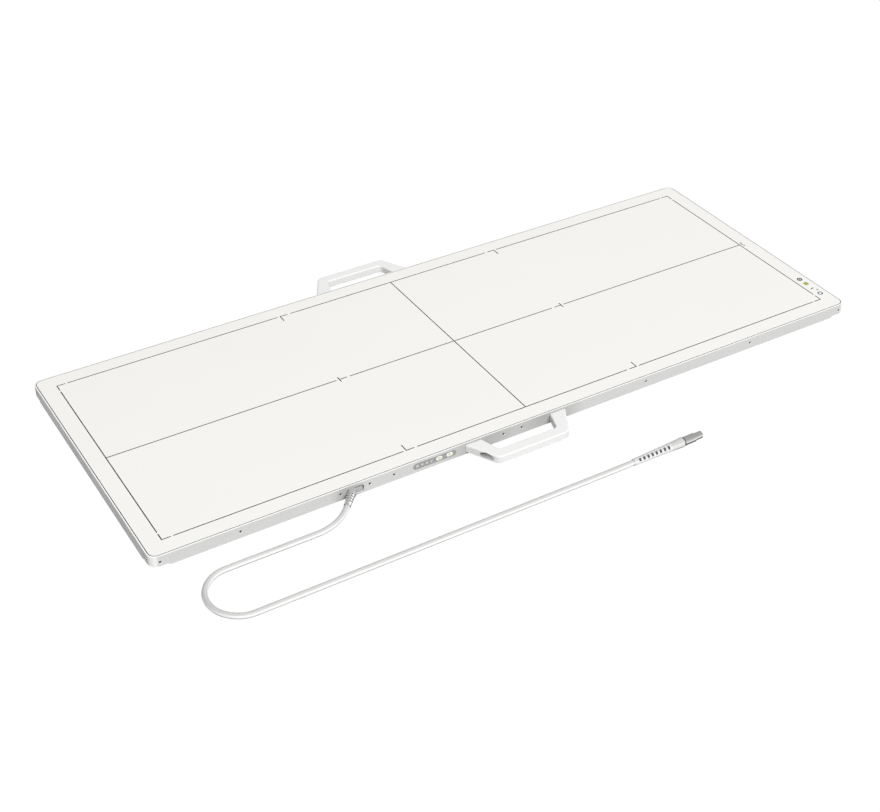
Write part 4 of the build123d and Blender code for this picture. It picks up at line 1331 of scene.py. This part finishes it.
@dataclass
class FrontFace:
    """The front plate, its printed lines and the small marks beside its corner, in mm."""

    mark_column: float = 623.0
    mark_radius: float = 4.9
    mark_film: float = 0.02
    ring_station: float = -147.0
    ring_inner: float = 2.4
    square_station: float = -163.5
    square_side: float = 8.6
    bars: tuple[tuple[float, ...], ...] = (
        (0.0, -147.0, 2.4, 2.4),
        (-1.5, -181.0, 7.0, 2.0, 18.0),
        (3.6, -188.7, 1.8, 5.0),
    )
    circle_station: float = -200.0
    circle_inner: float = 2.8

    def build(self, shop: Workshop) -> None:
        """Dresses the plate and prints the marks.

        Args:
            shop: the workshop.
        """
        shop.dress(Palette.PLATE, "front_plate")
        shop.dress(Palette.INK, "field_marks")
        dark, olive, blue = self._stencil(), self._stencil(), self._stencil()
        dark.ring(0.0, self.ring_station, self.mark_radius, self.ring_inner)
        for bar in self.bars:
            dark.bar(*bar)
        olive.bar(0.0, self.square_station, self.square_side, self.square_side)
        blue.ring(0.0, self.circle_station, self.mark_radius, self.circle_inner)
        for name, stencil, ink in (
            ("corner_marks_dark", dark, Palette.DARK_INK),
            ("corner_mark_olive", olive, Palette.OLIVE_INK),
            ("corner_mark_blue", blue, Palette.BLUE_INK),
        ):
            shop.piece(name, stencil.mesh(shop.material(ink)), Body.PANEL, "mark")

    def _stencil(self) -> Stencil:
        """A stencil on the plate, whose y runs along the plate's end."""
        origin = Vector((self.mark_column * MM, 0.0, HEIGHT))
        return Stencil(origin, Vector((1.0, 0.0, 0.0)), Vector((0.0, 1.0, 0.0)), self.mark_film * MM)


@dataclass
class Housing:
    """The four rails, the corner caps and every screw in the walls."""

    side_stations: tuple[float, ...] = (-503.4, -253.3, -60.3, -26.7, 212.5, 428.5)
    side_level: float = 12.0 * MM
    side_screw_length: float = 21.9 * MM
    cap_inset: float = 14.7 * MM
    cap_level: float = 11.0 * MM
    cap_screw_length: float = 10.0 * MM

    def build(self, shop: Workshop) -> None:
        """Dresses the walls and makes their screws.

        Args:
            shop: the workshop.
        """
        shop.dress(Palette.HOUSING, "left_rail", "right_rail", "blank_cover")
        shop.dress(Palette.NEAR_HOUSING, "near_rail")
        shop.dress(Palette.FAR_HOUSING, "far_rail")
        shop.dress(Palette.CAP, "corner_cap_1", "corner_cap_2", "corner_cap_3", "corner_cap_4")
        shop.dress(Palette.ALUMINIUM, "corner_brackets", "tie_blocks")
        shop.dress(Palette.SEAL, "plate_seal")
        sides = [
            (Vector((x * MM, way * HALF_WIDTH, self.side_level)), Vector((0.0, way, 0.0)))
            for x in self.side_stations
            for way in (-1, 1)
        ]
        ScrewSet("side_screw_heads", "side_screws", sides, self.side_screw_length).build(shop)
        caps = []
        in_x, in_y = HALF_LENGTH - self.cap_inset, HALF_WIDTH - self.cap_inset
        for x_way, y_way in CORNERS:
            along = Vector((x_way * in_x, y_way * HALF_WIDTH, self.cap_level))
            end = Vector((x_way * HALF_LENGTH, y_way * in_y, self.cap_level))
            caps.append((along, Vector((0.0, y_way, 0.0))))
            caps.append((end, Vector((x_way, 0.0, 0.0))))
        ScrewSet("cap_screw_heads", "cap_screws", caps, self.cap_screw_length).build(shop)


@dataclass
class Handles:
    """Both carrying handles with their pads and screws."""

    head_top: float = 13.6 * MM
    screw_hold: float = 8.0 * MM
    head_sunk: float = 0.02 * MM
    head_radius: float = 4.1 * MM
    head_depth: float = 4.98 * MM
    shank_radius: float = 2.4 * MM
    socket_radius: float = 2.3 * MM
    socket_depth: float = 2.6 * MM
    head_sides: int = 32

    def build(self, shop: Workshop) -> None:
        """Dresses the handles and makes their screws.

        Args:
            shop: the workshop.
        """
        shop.dress(Palette.HANDLE, "near_handle", "far_handle")
        shop.dress(Palette.PAD, "handle_pads")
        shop.dress(Palette.BRASS, "handle_inserts")
        places = []
        for side, way in CORNERS:
            x, y = HANDLE_CENTRE + side * HANDLE_BORE_HALF, way * (HALF_WIDTH + self.head_top)
            places.append((Vector((x, y, HANDLE_BORE_LEVEL)), Vector((0.0, way, 0.0))))
        ScrewSet(
            "handle_cap_screws", "handle_screws", places, self.head_top + self.screw_hold,
            sunk=self.head_sunk, head_radius=self.head_radius, head_root=self.head_radius,
            head_depth=self.head_depth, shank_radius=self.shank_radius, socket_radius=self.socket_radius,
            socket_depth=self.socket_depth, sides=self.head_sides
        ).build(shop)


@dataclass
class ControlStrip:
    """The window in the near wall with its lights, buttons and symbols, in mm along the wall."""

    centre: float = -183.1 * MM
    level: float = 11.8 * MM
    proud: float = 0.3 * MM
    lights: tuple[float, ...] = (-30.5, -22.0, -14.0, -6.0)
    buttons: tuple[float, ...] = (7.6, 26.0)
    power_ring: tuple[float, ...] = (0.0, 0.0, 2.1, 1.1, 125.0, 290.0)
    power_bar: tuple[float, ...] = (0.0, 1.2, 0.9, 2.2)
    mode_ring: tuple[float, ...] = (0.0, 0.5, 1.9, 0.9, 20.0, 250.0)
    mode_bar: tuple[float, ...] = (0.9, -1.7, 2.6, 0.9)
    icon_radii: tuple[float, float] = (2.3, 1.5)
    wedge: tuple[float, float, float] = (2.3, 1.6, -2.4)
    block: tuple[float, float] = (2.9, 3.6)
    stroke: tuple[float, float, float, float] = (1.6, 4.4, 0.7, 16.0)

    def build(self, shop: Workshop) -> None:
        """Dresses the strip and prints its symbols.

        Args:
            shop: the workshop.
        """
        shop.dress(Palette.WINDOW, "control_window")
        shop.dress(Palette.LIGHT, "light_pipes")
        shop.dress(Palette.BUTTON, "power_button", "mode_button")
        shop.dress(Palette.CHIP, "button_switches")
        shop.dress(Palette.BOARD, "control_board")
        shop.dress(Palette.FILM, "control_ribbon")
        icons = self._icons().mesh(shop.material(Palette.ICON))
        shop.piece("strip_icons", icons, Body.PANEL, "light")
        power_station, mode_station = self.buttons
        for name, station, ring, bar, body in (
            ("mode_symbol", mode_station, self.mode_ring, self.mode_bar, Body.MODE_BUTTON),
            ("power_symbol", power_station, self.power_ring, self.power_bar, Body.POWER_BUTTON),
        ):
            sign = self._stencil(station, self.proud)
            sign.ring(*ring)
            sign.bar(*bar)
            shop.piece(name, sign.mesh(shop.material(Palette.SYMBOL)), body, "button")

    def _stencil(self, station: float, proud: float) -> Stencil:
        """A stencil on the strip.

        Args:
            station: its place along the strip from the middle, in mm.
            proud: how far the face stands out of the wall.

        Returns:
            The stencil.
        """
        origin = Vector((self.centre + station * MM, -HALF_WIDTH - proud, self.level))
        return Stencil(origin, Vector((1.0, 0.0, 0.0)), Vector((0.0, 0.0, 1.0)))

    def _icons(self) -> Stencil:
        """Draws the four pale status signs at the lights, as plain shapes.

        Returns:
            The one stencil that they are on.
        """
        signs = self._stencil(0.0, 0.0)
        first, second, third, fourth = self.lights
        signs.ring(first, 0.0, *self.icon_radii)
        half, top, foot = self.wedge
        signs.polygon((second - half, top), (second, foot), (second + half, top))
        signs.bar(third, 0.0, *self.block)
        level, length, height, tilt = self.stroke
        for way in (-1, 1):
            signs.bar(fourth, way * level, length, height, way * tilt)
        return signs


@dataclass
class CableEntry:
    """The socket in the wall, the plug in it and the plug's strain relief."""

    mouth: Vector
    direction: Vector
    boot_length: float = 24.0 * MM
    boot_radius: float = 6.2 * MM
    boot_taper: float = 1.0 * MM
    screw_half: float = 24.4 * MM
    screw_length: float = 20.0 * MM

    def build(self, shop: Workshop) -> None:
        """Dresses the socket, plug and strain relief and makes the socket's screws.

        Args:
            shop: the workshop.
        """
        shop.dress(Palette.INSERT, "cable_socket")
        shop.dress(Palette.BRASS, "socket_contacts")
        shop.dress(Palette.FILM, "socket_ribbon")
        shop.dress(Palette.PLUG, "cable_plug")
        boot = replace(
            Palette.BOOT, root=tuple(self.mouth - self.direction * self.boot_length),
            direction=tuple(self.direction), root_radius=self.boot_radius,
            slope=-self.boot_taper / self.boot_length
        )
        shop.dress(boot, "plug_boot")
        low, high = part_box("socket_screws")
        height = (low.z + high.z) / 2
        places = [
            (Vector((SOCKET_CENTRE + way * self.screw_half, -HALF_WIDTH, height)), Vector((0.0, -1.0, 0.0)))
            for way in (-1, 1)
        ]
        ScrewSet("socket_screw_heads", "socket_screws", places, self.screw_length).build(shop)


@dataclass
class Lead:
    """The lead on the floor, from the plug's strain relief to the far connector."""

    diameter: float = 9.0 * MM
    length: float = 996.0 * MM
    round_steps: int = 7
    steps: int = 16
    route: tuple[Point, ...] = (
        (-0.3447, -0.2681, 0.0067),
        (-0.3589, -0.2833, 0.0045),
        (-0.3927, -0.2980, 0.0045),
        (-0.4296, -0.2981, 0.0045),
        (-0.5300, -0.2982, 0.0045),
        (-0.5710, -0.2983, 0.0045),
        (-0.6000, -0.3273, 0.0045),
        (-0.6000, -0.3688, 0.0045),
        (-0.5710, -0.3978, 0.0045),
        (-0.5300, -0.3978, 0.0045),
        (0.0060, -0.3979, 0.0045),
        (0.0400, -0.3979, 0.0045),
        (0.0740, -0.3981, 0.00545),
    )
    pieces: tuple[str, ...] = (
        "cable_plug",
        "plug_boot",
        "connector_grip",
        "connector_body",
        "connector_nose",
        "connector_insert",
        "connector_pins",
        "lock_sleeve_metal",
    )

    def heading(self, first: int, second: int) -> Vector:
        """The direction from one of the route's points to another one, of length one."""
        return (Vector(self.route[second]) - Vector(self.route[first])).normalized()

    def build(self, shop: Workshop) -> None:
        """Makes the lead as a curve.

        Args:
            shop: the workshop.
        """
        curve = bpy.data.curves.new("lead_jacket", "CURVE")
        curve.dimensions = "3D"
        curve.bevel_depth = self.diameter / 2
        curve.bevel_resolution = self.round_steps
        curve.resolution_u = self.steps
        curve.use_fill_caps = True
        spline = curve.splines.new("NURBS")
        spline.points.add(len(self.route) - 1)
        for point, place in zip(spline.points, self.route):
            point.co = (*place, 1.0)
        spline.order_u = 3
        spline.use_endpoint_u = True
        curve.materials.append(shop.material(Palette.JACKET))
        jacket = show(bpy.data.objects.new("lead_jacket", curve))
        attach(jacket, Body.LEAD.value)
        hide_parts("cable")
        log.info("piece lead_jacket: %d points on %s", len(self.route), Body.LEAD.value)


@dataclass
class FarConnector:
    """The push-pull connector at the lead's far end."""

    start: Vector
    direction: Vector
    tail_radius: float = 5.37 * MM
    front_radius: float = 6.9 * MM
    grip_length: float = 70.0 * MM
    sleeve_start: float = 94.8 * MM
    sleeve_length: float = 20.2 * MM
    sleeve_radius: float = 7.25 * MM
    sleeve_bore: float = 5.35 * MM
    sleeve_sides: int = 64
    collar_length: float = 2.4 * MM
    edge: float = 0.25 * MM
    neck: tuple[float, float, float] = (0.1 * MM, 0.5 * MM, 0.7 * MM)
    groove: tuple[float, float, float, float] = (3.3 * MM, 3.1 * MM, 2.8 * MM, 2.6 * MM)
    groove_depth: float = 0.15 * MM
    sharp: float = 25.0

    def build(self, shop: Workshop) -> None:
        """Dresses the connector and turns its locking sleeve.

        Args:
            shop: the workshop.
        """
        grip = replace(
            Palette.GRIP, root=tuple(self.start), direction=tuple(self.direction),
            root_radius=self.tail_radius,
            slope=(self.front_radius - self.tail_radius) / self.grip_length
        )
        shop.dress(grip, "connector_grip")
        shop.dress(Palette.SHELL, "connector_body")
        shop.dress(Palette.CHROME, "connector_nose")
        shop.dress(Palette.INSERT, "connector_insert")
        shop.dress(Palette.BRASS, "connector_pins")
        chrome = shop.material(Palette.CHROME)
        mesh = turned_mesh(self._sleeve(), self.sleeve_sides, self.start, self.direction, chrome)
        shop.piece("lock_sleeve_metal", mesh, Body.SLEEVE, "sleeve", "locking_sleeve", sharp=self.sharp)

    def _sleeve(self) -> Profile:
        """Draws the locking sleeve's outline, with its collar, neck and groove.

        Returns:
            Its points, as radius and place along the connector.
        """
        bore, radius, edge = self.sleeve_bore, self.sleeve_radius, self.edge
        barrel, groove = radius - edge, radius - edge - self.groove_depth
        start, end = self.sleeve_start, self.sleeve_start + self.sleeve_length
        collar = start + self.collar_length
        neck_in, neck_out, neck_end = (collar + step for step in self.neck)
        groove_in, low_in, low_out, groove_out = (end - step for step in self.groove)
        return [
            (bore, start),
            (radius - edge, start),
            (radius, start + edge),
            (radius, collar - edge),
            (radius - edge, collar),
            (barrel - edge, neck_in),
            (barrel - edge, neck_out),
            (barrel, neck_end),
            (barrel, groove_in),
            (groove, low_in),
            (groove, low_out),
            (barrel, groove_out),
            (barrel, end - edge),
            (barrel - edge, end),
            (bore, end),
        ]


@dataclass
class RearFace:
    """The rear cover with its seal and screws."""

    pitch: float = 190.0 * MM
    columns: int = 7
    inset: float = 8.4 * MM
    end_half: float = 110.0 * MM
    screw_length: float = 5.9 * MM

    def build(self, shop: Workshop) -> None:
        """Dresses the cover and makes its screws.

        Args:
            shop: the workshop.
        """
        shop.dress(Palette.COVER, "rear_cover")
        shop.dress(Palette.SEAL, "rear_seal")
        middle, in_x, in_y = (self.columns - 1) / 2, HALF_LENGTH - self.inset, HALF_WIDTH - self.inset
        spots = [
            ((column - middle) * self.pitch, way * in_y) for column in range(self.columns) for way in (-1, 1)
        ]
        spots += [(x_way * in_x, y_way * self.end_half) for x_way, y_way in CORNERS]
        places = [(Vector((x, y, 0.0)), Vector((0.0, 0.0, -1.0))) for x, y in spots]
        ScrewSet("cover_screw_heads", "cover_screws", places, self.screw_length).build(shop)


@dataclass
class Interior:
    """Everything behind the front plate."""

    def build(self, shop: Workshop) -> None:
        """Dresses the inner pieces.

        Args:
            shop: the workshop.
        """
        shop.dress(Palette.FOAM, "foam_sheet")
        shop.dress(Palette.PHOSPHOR, "scintillator_sheet")
        shop.dress(Palette.GLASS, "sensor_tiles")
        shop.dress(Palette.LEAD_SHEET, "shield_sheet")
        metal = ("support_plate", "heat_spreaders", "board_standoffs", "support_posts")
        shop.dress(Palette.ALUMINIUM, *metal)
        shop.dress(Palette.FILM, "sensor_films")
        shop.dress(Palette.BOARD, "main_board", "power_board", "gate_boards", "readout_boards")
        shop.dress(Palette.CHIP, "board_chips")
        shop.dress(Palette.THERMAL, "thermal_pads")


@dataclass(frozen=True)
class Softbox:
    """A soft rectangular light that faces the object."""

    name: str
    direction: Point
    distance: float
    size: tuple[float, float]
    power: float

    def hang(self) -> None:
        """Makes the light."""
        data = bpy.data.lights.new(self.name, "AREA")
        data.shape = "RECTANGLE"
        data.size, data.size_y = self.size
        data.energy = self.power
        light = show(bpy.data.objects.new(self.name, data))
        light.visible_glossy = False
        away = Vector(self.direction).normalized()
        turn = away.to_track_quat("Z", "Y").to_matrix().to_4x4()
        light.matrix_world = Matrix.Translation(away * self.distance) @ turn


@dataclass
class Studio:
    """The camera of the photograph, a pale floor and plain soft light."""

    lens: float = 62.7
    sensor: float = 36.0
    clip: tuple[float, float] = (0.05, 60.0)
    place: Point = (-1.1039, -1.8019, 1.4434)
    right: Point = (0.85822, -0.51328, -0.00062)
    down: Point = (-0.30473, -0.50854, -0.80531)
    forward: Point = (0.41304, 0.69132, -0.59285)
    lights: tuple[Softbox, ...] = (
        Softbox("key_softbox", (-0.07, -0.724, 0.686), 14.0, (8.7, 8.7), 2060.0),
        Softbox("back_softbox", (0.8, 0.6, 0.5), 8.0, (5.0, 5.0), 150.0),
    )
    floor_half: float = 12.0
    floor_level: float = -0.2 * MM
    floor_tone: Colour = (0.34, 0.34, 0.34)
    floor_glow: float = 1.3
    glow_seen: float = 0.72
    glow_mirrored: float = 0.65
    white: Colour = (1.0, 1.0, 1.0)
    world: float = 0.33

    def build(self) -> None:
        """Makes the camera, floor, lights and world."""
        self._camera()
        self._floor()
        for light in self.lights:
            light.hang()
        self._world()
        bpy.context.scene.view_settings.view_transform = "Standard"

    def _camera(self) -> None:
        """Puts the camera where the photograph was taken from."""
        data = bpy.data.cameras.new("photo_view")
        data.lens = self.lens
        data.sensor_width = self.sensor
        data.clip_start, data.clip_end = self.clip
        camera = show(bpy.data.objects.new("photo_view", data))
        right, up, back = Vector(self.right), -Vector(self.down), -Vector(self.forward)
        turn = Matrix((right.normalized(), up.normalized(), back.normalized())).transposed()
        camera.matrix_world = Matrix.Translation(Vector(self.place)) @ turn.to_4x4()
        bpy.context.scene.camera = camera

    def _floor(self) -> None:
        """Lays a wide floor just under the object."""
        shape = bmesh.new()
        signs = ((-1, -1), (1, -1), (1, 1), (-1, 1))
        places = [(x * self.floor_half, y * self.floor_half, self.floor_level) for x, y in signs]
        shape.faces.new([shape.verts.new(place) for place in places])
        mesh = plain_mesh("floor", shape, self._floor_paint())
        show(bpy.data.objects.new("floor", mesh))

    def _floor_paint(self) -> Material:
        """A pale floor that looks evenly lit and takes only a faint shadow.

        Returns:
            The material.
        """
        material = bpy.data.materials.new("floor_paint")
        material.use_nodes = True
        material.node_tree.nodes.clear()
        graph = Graph(material.node_tree)
        paint = graph.fill(graph.node("ShaderNodeBsdfDiffuse"), Color=(*self.floor_tone, 1.0))
        glow = graph.node("ShaderNodeEmission")
        graph.fill(glow, Color=(*self.white, 1.0), Strength=self.floor_glow)
        seen = graph.node("ShaderNodeLightPath")
        direct = graph.math("MULTIPLY", seen.outputs["Is Camera Ray"], self.glow_seen)
        mirrored = graph.math("MULTIPLY", seen.outputs["Is Glossy Ray"], self.glow_mirrored)
        mix = graph.node("ShaderNodeMixShader")
        for place, part in enumerate(
            (graph.math("MAXIMUM", direct, mirrored), paint.outputs[0], glow.outputs[0])
        ):
            graph.feed(mix.inputs[place], part)
        graph.fill(graph.node("ShaderNodeOutputMaterial"), Surface=mix.outputs[0])
        return material

    def _world(self) -> None:
        """Fills the surroundings with an even white that lights the object only softly."""
        world = bpy.data.worlds.new("surroundings")
        world.use_nodes = True
        graph = Graph(world.node_tree)
        seen = graph.node("ShaderNodeLightPath").outputs["Is Camera Ray"]
        background = world.node_tree.nodes["Background"]
        strength = graph.math("MAXIMUM", seen, self.world)
        graph.fill(background, Color=(*self.white, 1.0), Strength=strength)
        bpy.context.scene.world = world


def main() -> None:
    """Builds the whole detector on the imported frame."""
    logging.basicConfig(level=logging.INFO, format="%(message)s")
    for leftover in list(bpy.data.objects):
        bpy.data.objects.remove(leftover)
    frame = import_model()
    shop = Workshop(frame["nodes"])
    Studio().build()
    lead = Lead()
    FrontFace().build(shop)
    Housing().build(shop)
    Handles().build(shop)
    ControlStrip().build(shop)
    CableEntry(Vector(lead.route[0]), lead.heading(0, 1)).build(shop)
    FarConnector(Vector(lead.route[-1]), lead.heading(-2, -1)).build(shop)
    lead.build(shop)
    RearFace().build(shop)
    Interior().build(shop)


if __name__ == "__main__":
    main()
